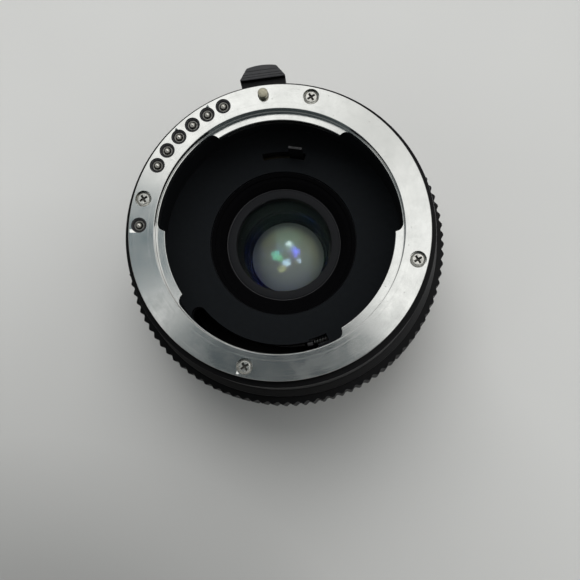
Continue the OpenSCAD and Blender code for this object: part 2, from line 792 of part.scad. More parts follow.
// Linkages that turn on the inner frame's tube
module stop_down_ring() {
    color("goldenrod") difference() {
        union() {
            ring(bearing_r + slide, stop_ring_r, z_stop, z_stop_top);
            rotate([0, 0, ear_az]) bar(stop_ring_r - cut, ear_r, ear_w, z_stop, z_stop_top);
            at(ear_pin_r, ear_az) rod(post_r, z_stop - hang_l, z_stop_top);
        }
        rotate([0, 0, stop_az]) bar(arm_in, stop_ring_r + cut, stop_w, z_stop - cut, z_stop_top + cut);
    }
}

module stop_down_lever() {
    color("lightgray") rotate([0, 0, stop_az]) bar(arm_in, arm_out, stop_w, z_lever_tip, z_stop_tip);
}

module stop_down_spring() {
    a = polar(ear_pin_r, ear_az, z_stop_spring);
    b = polar(stop_post_r, stop_post_az, z_stop_spring);
    d = (post_r + coil_wire) * unit(b - a);
    color("silver") straight_coil(a + d, b - d, stop_coil_r, coil_wire, stop_coils, 5);
}

module ring_spacer() {
    color("burlywood") ring(bearing_r + fit, thin_ring_r, z_spacer, z_spacer_top);
}

module coupling_ring() {
    color("goldenrod") {
        ring(bearing_r + slide, thin_ring_r, z_coupling, z_coupling_top);
        rotate([0, 0, coupling_az])
            bar(thin_ring_r - bite, stop_ring_r, coupling_w, z_coupling, z_coupling_top);
    }
}

module coupling_lever() {
    z_bridge = z_coupling - lever_t;
    color("lightgray") rotate([0, 0, coupling_az]) {
        bar(arm_in, coupling_out, coupling_w, z_bridge, z_coupling);
        bar(coupling_in, coupling_out, coupling_tip_w, z_coupling, z_coupling_tip);
        bar(arm_in, arm_out, coupling_w, z_lever_tip, z_bridge);
    }
}

module coupling_spring() {
    span = [coupling_az + coupling_half + spring_end_az[0], coupling_post_az - spring_end_az[1]];
    color("silver") arc_coil(spring_r, z_coupling_spring, span, coupling_coil_r, coil_wire,
        coupling_coils, 5);
}

module ring_clip() {
    opening = 40;
    color("silver") arc(bearing_r - clip_deep + seat, thin_ring_r, z_clip, z_clip_top,
        [opening / 2, full_turn - opening / 2]);
}

// Optics: each surface's vertex, and the level of its rim where the curve ends
function sag(i) = abs(curve[i]) - sqrt(curve[i] * curve[i] - rim_r * rim_r);
function vertex_z(i) = i == 0 ? z_floor - glass_drop : vertex_z(i - 1) - step[i - 1];
function rim_z(i) = vertex_z(i) - sign(curve[i]) * sag(i);

// One glass element between surfaces i and j; drop lowers the upper surface by a cement layer
module element(i, j, drop) {
    top = rim_z(i) - drop;
    low = rim_z(j);
    color("lightcyan", 0.4) difference() {
        union() {
            rod(edge_r, low, top);
            if (curve[i] > 0) intersection() {
                translate([0, 0, vertex_z(i) - drop - curve[i]]) sphere(r = curve[i]);
                rod(rim_r + cut, top - rim_bite, vertex_z(i) + cut);
            }
            if (curve[j] < 0) intersection() {
                translate([0, 0, vertex_z(j) - curve[j]]) sphere(r = -curve[j]);
                rod(rim_r + cut, vertex_z(j) - cut, low + rim_bite);
            }
        }
        if (curve[i] < 0) translate([0, 0, vertex_z(i) - drop - curve[i]]) sphere(r = -curve[i]);
        if (curve[j] > 0) translate([0, 0, vertex_z(j) - curve[j]]) sphere(r = curve[j]);
    }
}

module spacer(i, j) {
    color("#1a1a1a") ring(rim_r, edge_r, rim_z(j), rim_z(i));
}

module lens_cell() {
    z_thread = rim_z(0) + retainer_h;
    step_r = cell_flange_r - cell_step_w;
    color("#141415") rotate_extrude() polygon([[glass_bore_r, z_cell], [cell_r, z_cell],
        [cell_r, z_baffle], [cell_flange_r, z_baffle], [cell_flange_r, z_cell_top],
        [step_r, z_cell_top], [step_r, z_cell_top - cell_step],
        [step_r - cell_band_w, z_cell_top - cell_step], [glass_bore_r + thread_deep, z_thread + free],
        [glass_bore_r + thread_deep, z_thread], [glass_bore_r, z_thread]]);
}

// A threaded retainer on the rim at z; its inner edge is bevelled away from the curve of the glass
module retainer(z, up) {
    inner = glass_bore_r - fit - retainer_w;
    bevel = 0.4;
    color("#3a3a3c") rotate_extrude() polygon([[inner, z + up * bevel], [inner, z + up * retainer_h],
        [glass_bore_r - fit, z + up * retainer_h], [glass_bore_r - fit, z], [rim_r + fit, z]]);
}

// The camera-side bayonet, with its fixed contacts and the moulded lever guard
module rear_mount_ring() {
    low = -spigot_len;
    color("gainsboro") difference() {
        union() {
            rotate_extrude() polygon([[spigot_in, low], [spigot_out, low], [spigot_out, 0],
                [rear_ring_r - ring_chamfer, 0], [rear_ring_r, ring_chamfer],
                [rear_ring_r, rear_ring_t], [spigot_in, rear_ring_t]]);
            for (span = lug_spans) arc((spigot_in + spigot_out) / 2, rear_lug_r, low, low + rear_lug_t,
                [span[0] + rear_lug_margin, span[1] - rear_lug_margin]);
        }
        for (az = rear_screw_az) at(pitch_r, az) {
            rod(screw_hole_r, 0, rear_ring_t + cut);
            rod(counterbore_r, -cut, counterbore_deep);
        }
        for (az = contact_az) at(pitch_r, az) rod(rear_bush_r + fit, -cut, rear_ring_t + cut);
        for (az = third_az) at(shroud_screw_pitch, az)
            rod(shroud_screw_r + fit, rear_ring_t / 4, rear_ring_t + cut);
        at(pitch_r, lock_az) {
            half = (lock_slot_l - lock_slot_w) / 2;
            for (side = [-half, half]) translate([0, side, 0]) rod(lock_slot_w / 2, -cut, lock_slot_deep);
            bar(-lock_slot_w / 2, lock_slot_w / 2, 2 * half, -cut, lock_slot_deep);
        }
    }
}

module rear_mount_screws() {
    length = rear_ring_t + rear_deck_t - counterbore_deep - board_room;
    color("silver") for (az = rear_screw_az) at(pitch_r, az) translate([0, 0, screw_sunk])
        mirror([0, 0, 1]) cross_screw(screw_head_r, screw_head_h, screw_r, length);
}

module rear_contact_bushes() {
    color("dimgray") for (az = contact_az) at(pitch_r, az)
        ring(rear_contact_r + fit, rear_bush_r, gap, z_rear_deck);
}

module rear_contacts() {
    color("gold") for (az = contact_az) at(pitch_r, az) rod(rear_contact_r, -seat, z_rear_deck);
}

module rear_contact_board() {
    color("darkgreen") arc(wall_out + board_room, tail_r - gap, z_rear_deck, z_rear_board,
        board_az);
}

module rear_shroud() {
    top = rear_ring_t + shroud_flange_t;
    color("#19191a") difference() {
        union() {
            ring(guard_in, guard_out, -guard_len, top);
            ring(guard_in, shroud_flange_r, rear_ring_t, top);
            ring(inner_guard_out - bite, guard_in + bite, web_z - web_t, web_z);
            ring(inner_guard_in, inner_guard_out, -inner_guard_len, web_z);
        }
        arc(slot_in, slot_out, web_z - web_t - cut, web_z + cut, stop_slot);
        arc(slot_in, slot_out, web_z - web_t - cut, web_z + cut, rear_coupling_slot);
        for (az = third_az) at(shroud_screw_pitch, az)
            rod(shroud_screw_r + gap, rear_ring_t - cut, top + cut);
    }
}

module shroud_screws() {
    head_h = 0.7;
    color("silver") for (az = third_az) at(shroud_screw_pitch, az)
        translate([0, 0, rear_ring_t + shroud_flange_t + head_h])
            cross_screw(shroud_screw_head_r, head_h, shroud_screw_r, shroud_flange_t + rear_ring_t / 2);
}

front_mount_ring();
front_mount_screws();
bayonet_leaf_springs();
contact_bushes();
for (k = [1 : 7]) contact_pin(k);
contact_springs();
contact_board();
flex_strip();
front_barrel();
grip_ring();
rear_barrel();
barrel_screws();
index_beads();
lock_pin();
lock_spring();
release_slider();
release_lever();
lever_screw();
chamber_wall();
baffle_plate();
inner_frame();
frame_screws();
stop_down_ring();
stop_down_lever();
stop_down_spring();
ring_spacer();
coupling_ring();
coupling_lever();
coupling_spring();
ring_clip();
lens_cell();
retainer(rim_z(0), 1);  // front_retainer
element(0, 1, 0);  // front_element
spacer(1, 2);  // front_spacer
element(2, 3, 0);  // crown_element
element(3, 4, cement);  // flint_element
spacer(4, 5);  // middle_spacer
element(5, 6, 0);  // negative_element
spacer(6, 7);  // rear_spacer
element(7, 8, 0);  // rear_element
retainer(rim_z(8), -1);  // rear_retainer
rear_mount_ring();
rear_mount_screws();
rear_contact_bushes();
rear_contacts();
rear_contact_board();
rear_shroud();
shroud_screws();
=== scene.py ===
# Camera teleconverter, dressed for the picture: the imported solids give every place, and the pieces
# that show are modelled again here with their finishes. Lengths are in millimetres until a mesh is done.
import bpy
import bmesh
import math
from mathutils import Matrix, Vector


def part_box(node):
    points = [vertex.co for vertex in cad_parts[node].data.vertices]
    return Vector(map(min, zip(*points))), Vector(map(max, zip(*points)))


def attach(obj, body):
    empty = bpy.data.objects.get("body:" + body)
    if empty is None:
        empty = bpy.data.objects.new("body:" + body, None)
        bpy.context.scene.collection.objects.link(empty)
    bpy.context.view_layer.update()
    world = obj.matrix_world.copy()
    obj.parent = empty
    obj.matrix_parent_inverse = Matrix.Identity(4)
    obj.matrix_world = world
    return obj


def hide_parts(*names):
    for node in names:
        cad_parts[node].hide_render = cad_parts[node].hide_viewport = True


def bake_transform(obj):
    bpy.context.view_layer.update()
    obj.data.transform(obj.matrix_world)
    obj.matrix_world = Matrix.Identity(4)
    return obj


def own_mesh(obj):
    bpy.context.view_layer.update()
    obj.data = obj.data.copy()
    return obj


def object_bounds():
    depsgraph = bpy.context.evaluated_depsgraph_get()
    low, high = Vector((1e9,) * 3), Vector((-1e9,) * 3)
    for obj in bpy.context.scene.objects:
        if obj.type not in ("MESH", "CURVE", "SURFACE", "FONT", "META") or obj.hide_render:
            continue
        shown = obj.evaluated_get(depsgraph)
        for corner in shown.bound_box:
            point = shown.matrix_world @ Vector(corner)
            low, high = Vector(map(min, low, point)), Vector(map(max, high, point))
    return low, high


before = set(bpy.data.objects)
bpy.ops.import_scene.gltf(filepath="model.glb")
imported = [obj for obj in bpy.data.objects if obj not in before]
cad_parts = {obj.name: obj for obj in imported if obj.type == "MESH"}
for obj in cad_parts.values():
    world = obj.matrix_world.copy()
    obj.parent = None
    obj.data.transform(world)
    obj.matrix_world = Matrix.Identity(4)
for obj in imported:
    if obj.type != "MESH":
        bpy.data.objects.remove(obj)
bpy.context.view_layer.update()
scene = bpy.context.scene
scene.view_settings.view_transform = "Standard"

# The camera: a hand-held view from about 160 mm over the lens flange, a little below its middle.
# The picture is turned a few degrees about the optical axis, so the lever sits left of the top.
MM = 0.001
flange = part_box("front_mount_ring")[1].z / MM
picture_az = -6.5
picture_turn = Matrix.Rotation(math.radians(picture_az), 3, "Z")
eye = picture_turn @ Vector((12.11, -37.46, 157.43)) + Vector((0, 0, flange))
aim = picture_turn @ Vector((2.19, -11.91, 0)) + Vector((0, 0, flange))
focal_px = 850
picture_px = 580
back = (eye - aim).normalized()
right = (picture_turn @ Vector((0, 1, 0))).cross(back).normalized()
turn = Matrix((right, back.cross(right), back)).transposed().to_4x4()
lens = bpy.data.cameras.new("view")
lens.sensor_width = 36
lens.lens = lens.sensor_width * focal_px / picture_px
lens.clip_start = 0.01
camera = bpy.data.objects.new("view", lens)
camera.matrix_world = Matrix.Translation(eye * MM) @ turn
scene.collection.objects.link(camera)
scene.camera = camera


# The table: a matt, faintly mottled pale top, with painted shade towards its near left corner. The room is
# dim low down; overhead it has pale and dark sides all round, which the bright ring mirrors, and one soft
# lamp.
def linear(colour):
    """An sRGB hex colour as linear red, green, blue and alpha."""
    parts = [int(colour[i:i + 2], 16) / 255 for i in (1, 3, 5)]
    return [c / 12.92 if c <= 0.04045 else ((c + 0.055) / 1.055) ** 2.4 for c in parts] + [1]


def add(tree, kind, links=None, **settings):
    """Adds a node with its settings; links gives an input a value or another node's output."""
    node = tree.nodes.new(kind)
    for key, value in settings.items():
        setattr(node, key, value)
    for socket, value in (links or {}).items():
        if isinstance(value, bpy.types.NodeSocket):
            tree.links.new(value, node.inputs[socket])
        else:
            node.inputs[socket].default_value = value
    return node


def finish(name, **sockets):
    """A new material: itself, its node tree, its shader with some sockets set, and the place on the piece."""
    made = bpy.data.materials.new(name)
    made.use_nodes = True
    tree = made.node_tree
    shader = tree.nodes["Principled BSDF"]
    for socket, value in sockets.items():
        shader.inputs[socket.replace("_", " ")].default_value = value
    return made, tree, shader, add(tree, "ShaderNodeTexCoord").outputs["Object"]


def per(size):
    """The texture scale whose features are about this many millimetres wide."""
    return 1 / (size * MM)


table_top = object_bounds()[0].z
table_half = 3
laminate, tree, shader, place = finish("matt_laminate", Roughness=0.75)
mottle = add(tree, "ShaderNodeTexNoise", {"Vector": place, "Scale": per(60), "Detail": 3})
tone = add(tree, "ShaderNodeMix", {"Factor": mottle.outputs["Fac"], "A": linear("#ccccca"),
                                   "B": linear("#d3d3d1")}, data_type="RGBA")
# Painted shade: the base colour darkens in two steps towards a point past the near left corner.
painted_shade_corner = (-79 * MM, -131 * MM, 0)
from_corner = add(tree, "ShaderNodeVectorMath", {0: place, 1: painted_shade_corner}, operation="DISTANCE")
shaded = tone.outputs["Result"]
for near, away, dim in ((50, 100, 0.64), (70, 160, 0.67)):
    shade = add(tree, "ShaderNodeMapRange", {"Value": from_corner.outputs["Value"], "From Min": near * MM,
                                             "From Max": away * MM, "To Min": dim, "To Max": 1})
    shaded = add(tree, "ShaderNodeVectorMath", {0: shaded, 1: shade.outputs["Result"]},
                 operation="MULTIPLY").outputs["Vector"]
tree.links.new(shaded, shader.inputs["Base Color"])
bm = bmesh.new()
bmesh.ops.create_grid(bm, x_segments=1, y_segments=1, size=table_half)
bmesh.ops.translate(bm, vec=(0, 0, table_top), verts=bm.verts)
mesh = bpy.data.meshes.new("table")
bm.to_mesh(mesh)
bm.free()
mesh.materials.append(laminate)
table = bpy.data.objects.new("table", mesh)
scene.collection.objects.link(table)

room_low = 0.3
low_edge = (0.5, 0.8)
room_scale = 1.5
lowest = 0.05
dim_below = 0.5
dim_cool = 0.2
room_round = ((0, 0.82), (15, 0.85), (28, 0.64), (46, 0.6), (58, 0.8), (76, 0.9), (100, 0.96), (142, 0.9),
              (154, 0.6), (161, 0.19), (180, 0.14), (197, 0.19), (204, 0.75), (212, 0.75), (218, 0.1),
              (240, 0.055), (270, 0.04), (296, 0.055), (304, 0.1), (309, 0.95), (332, 0.92), (346, 0.82),
              (360, 0.82))
mirrored = -eye.xy / (eye.z - flange)
world = bpy.data.worlds.new("room")
world.use_nodes = True
sky = world.node_tree
heading = add(sky, "ShaderNodeTexCoord").outputs["Generated"]
height = add(sky, "ShaderNodeSeparateXYZ", {0: heading}).outputs["Z"]
lifted = add(sky, "ShaderNodeMath", {0: height, 1: lowest}, operation="MAXIMUM")
ceiling = add(sky, "ShaderNodeVectorMath", {0: heading, 1: lifted.outputs["Value"]}, operation="DIVIDE")
offset = add(sky, "ShaderNodeVectorMath", {0: ceiling.outputs["Vector"], 1: (*mirrored, 0)},
             operation="SUBTRACT")
sides = add(sky, "ShaderNodeSeparateXYZ", {0: offset.outputs["Vector"]})
bearing = add(sky, "ShaderNodeMath", {0: sides.outputs["Y"], 1: sides.outputs["X"]}, operation="ARCTAN2")
share = add(sky, "ShaderNodeMath", {0: bearing.outputs["Value"], 1: math.tau}, operation="DIVIDE")
whole_turn = add(sky, "ShaderNodeMath", {0: share.outputs["Value"], 1: 1}, operation="FLOORED_MODULO")
walls = add(sky, "ShaderNodeValToRGB", {0: whole_turn.outputs["Value"]})
for k, (azimuth, bright) in enumerate(room_round):
    stop = walls.color_ramp.elements[k] if k < 1 else walls.color_ramp.elements.new(azimuth / 360)
    stop.position = azimuth / 360
    cool = dim_cool * (bright < dim_below)
    stop.color = (bright * (1 - cool), bright, bright * (0.98 + cool / 2), 1)
upper = add(sky, "ShaderNodeMapRange", {"Value": height, "From Min": low_edge[0], "From Max": low_edge[1]},
            interpolation_type="SMOOTHSTEP")
whole = add(sky, "ShaderNodeMix", {"Factor": upper.outputs["Result"], "A": (*3 * [room_low / room_scale], 1),
                                   "B": walls.outputs["Color"]}, data_type="RGBA")
sky.links.new(whole.outputs["Result"], sky.nodes["Background"].inputs["Color"])
sky.nodes["Background"].inputs["Strength"].default_value = room_scale
scene.world = world


def lamp(name, spot, target, size, watts):
    """A square soft lamp at a spot, facing a target."""
    data = bpy.data.lights.new(name, "AREA")
    data.size = size * MM
    data.energy = watts
    made = bpy.data.objects.new(name, data)
    heading = Vector(spot) - Vector(target)
    made.matrix_world = (Matrix.Translation(Vector(spot) * MM)
                         @ heading.to_track_quat("Z", "Y").to_matrix().to_4x4())
    scene.collection.objects.link(made)
    return made


lamp("ceiling_lamp", (40, 300, 560), (0, 0, 20), 480, 2.3).visible_glossy = False


# The lens-side bayonet ring: a chromed brass casting, turned on a lathe and then milled to leave three
# lugs. Its face keeps the circular tool marks, with years of fine scratches and finger marks on top.
def turned(outline, corner=0.0, steps=192):
    """An outline of (radius, height) corners, each rounded a little, turned about the optical axis."""
    bm = bmesh.new()
    points = [bm.verts.new((r, 0, z)) for r, z in outline]
    bm.faces.new(points)
    if corner:
        bmesh.ops.bevel(bm, geom=[v for v in points if v.co.x > 0], affect="VERTICES", offset=corner,
                        segments=3, profile=0.5, material=-1, clamp_overlap=True)
    bmesh.ops.delete(bm, geom=bm.faces[:], context="FACES_ONLY")
    on_axis = [e for e in bm.edges if all(v.co.x < 1e-6 for v in e.verts)]
    bmesh.ops.delete(bm, geom=on_axis, context="EDGES")
    bmesh.ops.spin(bm, geom=bm.verts[:] + bm.edges[:], cent=(0, 0, 0), axis=(0, 0, 1), steps=steps,
                   angle=math.tau, use_merge=True)
    bmesh.ops.remove_doubles(bm, verts=bm.verts, dist=1e-5)
    bmesh.ops.recalc_face_normals(bm, faces=bm.faces)
    return bm


def rod(radius, low, high, steps=40):
    """A plain round bar on the axis, used as a drill or an end mill."""
    return turned([(0, low), (radius, low), (radius, high), (0, high)], steps=steps)


def sector(r_in, r_out, low, high, start, end):
    """A block between two radii, two heights and two azimuths."""
    bm = bmesh.new()
    section = ((r_in, low), (r_out, low), (r_out, high), (r_in, high))
    face = bm.faces.new([bm.verts.new((r, 0, z)) for r, z in section])
    bmesh.ops.rotate(bm, verts=bm.verts, cent=(0, 0, 0), matrix=Matrix.Rotation(math.radians(start), 3, "Z"))
    bmesh.ops.spin(bm, geom=[face], cent=(0, 0, 0), axis=(0, 0, 1), steps=max(4, round((end - start) / 1.4)),
                   angle=math.radians(end - start))
    bmesh.ops.recalc_face_normals(bm, faces=bm.faces)
    return bm


def corners(geom):
    """The vertices in a mixed list of vertices, edges and faces."""
    return [v for v in geom if isinstance(v, bmesh.types.BMVert)]


def spread(bm, places):
    """Copies a mesh made on the axis to each place, a radius and an azimuth."""
    first = bm.verts[:] + bm.edges[:] + bm.faces[:]
    for radius, azimuth in places:
        copy = bmesh.ops.duplicate(bm, geom=first)["geom"]
        move = Matrix.Rotation(math.radians(azimuth), 4, "Z") @ Matrix.Translation((radius, 0, 0))
        bmesh.ops.transform(bm, matrix=move, verts=corners(copy))
    bmesh.ops.delete(bm, geom=corners(first), context="VERTS")
    return bm


def cut(body, *tools):
    """Cuts the tools out of a mesh, one after another, and gives back what is left."""
    for tool in tools:
        pair = []
        for bm in (body, tool):
            mesh = bpy.data.meshes.new("blank")
            bm.to_mesh(mesh)
            bm.free()
            pair.append(bpy.data.objects.new("blank", mesh))
            scene.collection.objects.link(pair[-1])
        pair[0].modifiers.new("cut", "BOOLEAN").object = pair[1]
        body = bmesh.new()
        body.from_object(pair[0], bpy.context.evaluated_depsgraph_get())
        for blank in pair:
            bpy.data.meshes.remove(blank.data)
    bmesh.ops.remove_doubles(body, verts=body.verts, dist=1e-3)
    bmesh.ops.dissolve_degenerate(body, edges=body.edges, dist=1e-3)
    return body


def soften(bm, width, sharp=50):
    """Breaks the edges that are still sharp, as deburring does; each flat is first made one face."""
    bmesh.ops.dissolve_limit(bm, angle_limit=math.radians(0.3), verts=bm.verts, edges=bm.edges)
    edges = [e for e in bm.edges if e.is_manifold and e.calc_face_angle() > math.radians(sharp)]
    bmesh.ops.bevel(bm, geom=edges, affect="EDGES", offset=width, segments=2, profile=0.5, material=-1,
                    clamp_overlap=True)
    return bm


def mesh_piece(name, bm, slot, nodes, *materials):
    """A finished object in metres, smooth where it is round and flat where it is flat."""
    bmesh.ops.scale(bm, vec=(MM, MM, MM), verts=bm.verts)
    mesh = bpy.data.meshes.new(name)
    bm.to_mesh(mesh)
    bm.free()
    mesh.shade_smooth()
    mesh.set_sharp_from_angle(angle=math.radians(40))
    for material in materials:
        mesh.materials.append(material)
    made = bpy.data.objects.new(name, mesh)
    scene.collection.objects.link(made)
    made.modifiers.new("flat faces", "WEIGHTED_NORMAL").keep_sharp = True
    made.data = bpy.data.meshes.new_from_object(made.evaluated_get(bpy.context.evaluated_depsgraph_get()))
    made.modifiers.clear()
    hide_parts(*nodes)
    return made


def piece(name, bm, body, slot, nodes, *materials):
    """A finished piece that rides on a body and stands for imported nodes."""
    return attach(mesh_piece(name, bm, slot, nodes, *materials), body)


throat_r = 24
collar_r = 25
ring_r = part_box("front_mount_ring")[1].x / MM
pitch_r = (collar_r + ring_r) / 2
ring_low = flange - 2.2
lug_r = 22.25
lug_top = flange - 1.75
lug_low = lug_top - 1.4
ledge_r = throat_r - 0.2
lug_spans = ((51.4, 116.1), (173, 206.9), (295.4, 352.3))
mill_r = 1.6
screw_az = (70, 160, 250, 340)
contact_az = [107.4 + 7.5 * k for k in range(6)] + [171.3]
lock_az = 90
counterbore_r = 1.6
counterbore_deep = 1.05
bush_r = 1.48
pin_r = 1
past = 1
screw_hole_r = 0.95
bush_room = 0.02
pin_room = 0.08

mill_path_r = ledge_r - mill_r
mill_turn = math.degrees(math.asin(mill_r / mill_path_r))
gap_ends = [(lug_spans[k - 1][1] + mill_turn, lug_spans[k][0] - mill_turn + (360 if k == 0 else 0))
            for k in range(3)]
gaps = [sector(lug_r - past, ledge_r + 0.01, lug_low - past, flange + past, *ends) for ends in gap_ends]
end_mill = spread(rod(mill_r, lug_low - past, flange + past, 64),
                  [(mill_path_r, azimuth) for ends in gap_ends for azimuth in ends])
screw_places = [(pitch_r, azimuth) for azimuth in screw_az]
contact_places = [(pitch_r, azimuth) for azimuth in contact_az]
counterbore = turned([(0, ring_low - past), (screw_hole_r, ring_low - past),
                      (screw_hole_r, flange - counterbore_deep), (counterbore_r, flange - counterbore_deep),
                      (counterbore_r, flange + past), (0, flange + past)], steps=48)
ring = turned([(lug_r, lug_low), (collar_r, lug_low), (collar_r, ring_low), (ring_r, ring_low),
               (ring_r, flange), (throat_r, flange), (throat_r, lug_top), (lug_r, lug_top)], 0.12, 256)
ring = cut(ring, *gaps, end_mill, spread(counterbore, screw_places),
           spread(rod(bush_r + bush_room, ring_low - past, flange + past, 48), contact_places),
           spread(rod(pin_r + pin_room, ring_low - past, flange + past), [(pitch_r, lock_az)]))
ring = soften(ring, 0.05)

# Chrome on brass: a bright mirror whose picture of the room is drawn out along the radius by the tool marks.
# The marks are coarser than real ones, so that they show; smudges and specks dull it a little.
chrome, tree, shader, place = finish("turned_chromed_brass", Metallic=1, Anisotropic=0.5)
across = add(tree, "ShaderNodeMapping", {"Vector": place, "Scale": (1, 1, 0)}).outputs["Vector"]
radius = add(tree, "ShaderNodeVectorMath", {0: across}, operation="LENGTH")
drift = add(tree, "ShaderNodeTexNoise", {"Vector": place, "Scale": per(9), "Detail": 2})
wander = add(tree, "ShaderNodeMath", {0: drift.outputs["Fac"], 1: 0.25 * MM, 2: radius.outputs["Value"]},
             operation="MULTIPLY_ADD")
marks = add(tree, "ShaderNodeTexNoise", {"W": wander.outputs["Value"], "Scale": per(0.35), "Detail": 4,
                                         "Roughness": 0.7}, noise_dimensions="1D")
smudge = add(tree, "ShaderNodeTexNoise", {"Vector": place, "Scale": per(3.5), "Detail": 5, "Roughness": 0.65})
worn = add(tree, "ShaderNodeMapRange", {"Value": smudge.outputs["Fac"], "From Min": 0.3, "From Max": 0.72,
                                        "To Min": 0.07, "To Max": 0.15})
grained = add(tree, "ShaderNodeMath", {0: marks.outputs["Fac"], 1: 0.1, 2: worn.outputs["Result"]},
              operation="MULTIPLY_ADD")
pits = add(tree, "ShaderNodeTexVoronoi", {"Vector": place, "Scale": per(1.6)})
pitted = add(tree, "ShaderNodeMapRange", {"Value": pits.outputs["Distance"], "From Min": 0.03,
                                          "From Max": 0.07})
steel = add(tree, "ShaderNodeMix", {"Factor": smudge.outputs["Fac"], "A": linear("#dcdddb"),
                                    "B": linear("#c3c4c2")}, data_type="RGBA")
speck = add(tree, "ShaderNodeMix", {"Factor": pitted.outputs["Result"], "A": linear("#8b8a86"),
                                    "B": steel.outputs["Result"]}, data_type="RGBA")
relief = add(tree, "ShaderNodeBump", {"Strength": 0.2, "Distance": 0.012 * MM,
                                      "Height": marks.outputs["Fac"]})
tree.links.new(speck.outputs["Result"], shader.inputs["Base Color"])
tree.links.new(grained.outputs["Value"], shader.inputs["Roughness"])
tree.links.new(relief.outputs["Normal"], shader.inputs["Normal"])
tree.links.new(across, shader.inputs["Tangent"])
piece("lens_bayonet", ring, "housing", "mount_steel", ["front_mount_ring"], chrome)


# The mount screws: small cross-head machine screws in nickel-plated steel, four in the lens-side ring and
# four in the camera-side ring, sunk a hair below the face. Their crosses are painted dark, as painted shade.
def cross_screw(head_r, head_h, shank_r, shank_l):
    """A cross-head screw, head up, with its top at the origin; its cross has the second finish, a painted
    shade.
    """
    flat_r = 0.72 * head_r
    screw = turned([(0, -head_h - shank_l), (shank_r, -head_h - shank_l), (shank_r, -head_h),
                    (head_r, -head_h), (head_r, -0.4 * head_h), (flat_r, 0), (0, 0)], 0.05, 48)
    blades = []
    for angle in (45, 135):
        blade = bmesh.new()
        bmesh.ops.create_cube(blade, size=1)
        bmesh.ops.scale(blade, vec=(1.54 * head_r, 0.345 * head_r, 1.4 * head_h), verts=blade.verts)
        bmesh.ops.scale(blade, vec=(0.5, 0.75, 1), verts=[v for v in blade.verts if v.co.z < 0])
        bmesh.ops.translate(blade, vec=(0, 0, 0.02 * head_h), verts=blade.verts)
        bmesh.ops.rotate(blade, verts=blade.verts, cent=(0, 0, 0),
                         matrix=Matrix.Rotation(math.radians(angle), 3, "Z"))
        blades.append(blade)
    screw = cut(screw, *blades)
    # The faces inside the cross take the second finish: painted shade in the recess.
    for face in screw.faces:
        middle = face.calc_center_median()
        face.material_index = int(middle.xy.length < flat_r and -0.9 * head_h < middle.z < -0.02)
    return soften(screw, 0.03)


def metal(name, bright, dull, grain, smooth, rough):
    """A plain metal, bright where it is rubbed and dull between, in patches about as wide as the grain."""
    made, tree, shader, place = finish(name, Metallic=1)
    tarnish = add(tree, "ShaderNodeTexNoise", {"Vector": place, "Scale": per(grain), "Detail": 5,
                                               "Roughness": 0.6})
    patch = add(tree, "ShaderNodeMapRange", {"Value": tarnish.outputs["Fac"], "From Min": 0.3,
                                             "From Max": 0.7})
    colour = add(tree, "ShaderNodeMix", {"Factor": patch.outputs["Result"], "A": linear(bright),
                                         "B": linear(dull)}, data_type="RGBA")
    polish = add(tree, "ShaderNodeMapRange", {"Value": tarnish.outputs["Fac"], "From Min": 0.3,
                                              "From Max": 0.7, "To Min": smooth, "To Max": rough})
    tree.links.new(colour.outputs["Result"], shader.inputs["Base Color"])
    tree.links.new(polish.outputs["Result"], shader.inputs["Roughness"])
    return made


def black_coat(name, dark, light, grain, rough, height, **sockets):
    """A black finish: mottled between two tones, with a fine grain that also breaks up its gloss."""
    made, tree, shader, place = finish(name, **sockets)
    mottle = add(tree, "ShaderNodeTexNoise", {"Vector": place, "Scale": per(12 * grain), "Detail": 5,
                                              "Roughness": 0.65})
    tone = add(tree, "ShaderNodeMix", {"Factor": mottle.outputs["Fac"], "A": linear(dark),
                                       "B": linear(light)}, data_type="RGBA")
    grit = add(tree, "ShaderNodeTexNoise", {"Vector": place, "Scale": per(grain), "Detail": 2})
    gloss = add(tree, "ShaderNodeMapRange", {"Value": grit.outputs["Fac"], "From Min": 0.3, "From Max": 0.7,
                                             "To Min": rough - 0.08, "To Max": rough + 0.08})
    relief = add(tree, "ShaderNodeBump", {"Strength": 0.4, "Distance": height * MM,
                                          "Height": grit.outputs["Fac"]})
    tree.links.new(tone.outputs["Result"], shader.inputs["Base Color"])
    tree.links.new(gloss.outputs["Result"], shader.inputs["Roughness"])
    tree.links.new(relief.outputs["Normal"], shader.inputs["Normal"])
    return made


screw_head_r = 1.45
screw_head_h = 0.9
screw_r = 0.85
screw_sunk = 0.15
front_shank_l = 3.55
# Nickel plate gleams a warm white with dull patches; the crosses are painted a dark matt, as painted shade.
nickel = metal("nickel_plated_steel", "#dad9d4", "#b0afa9", 0.8, 0.16, 0.36)
painted_cross_shade = black_coat("painted_cross_shade", "#2a2926", "#45433f", 0.1, 0.7, 0.01)
screws = cross_screw(screw_head_r, screw_head_h, screw_r, front_shank_l)
bmesh.ops.translate(screws, vec=(0, 0, flange - screw_sunk), verts=screws.verts)
piece("lens_mount_screws", spread(screws, screw_places), "housing", "screw_steel", ["front_mount_screws"],
      nickel, painted_cross_shade)


# The sprung contacts: seven moulded bushes pressed into the ring, each with a tinned eyelet in its dished
# face. A nickel-plated pin with a domed nose slides in each, on a small spring that stands on a board.
def arc(radius, middle, start, end, count):
    """Points of an arc in an outline, about a middle point, from one angle to another."""
    angles = [math.radians(start + (end - start) * k / count) for k in range(count + 1)]
    return [(middle[0] + radius * math.cos(a), middle[1] + radius * math.sin(a)) for a in angles]


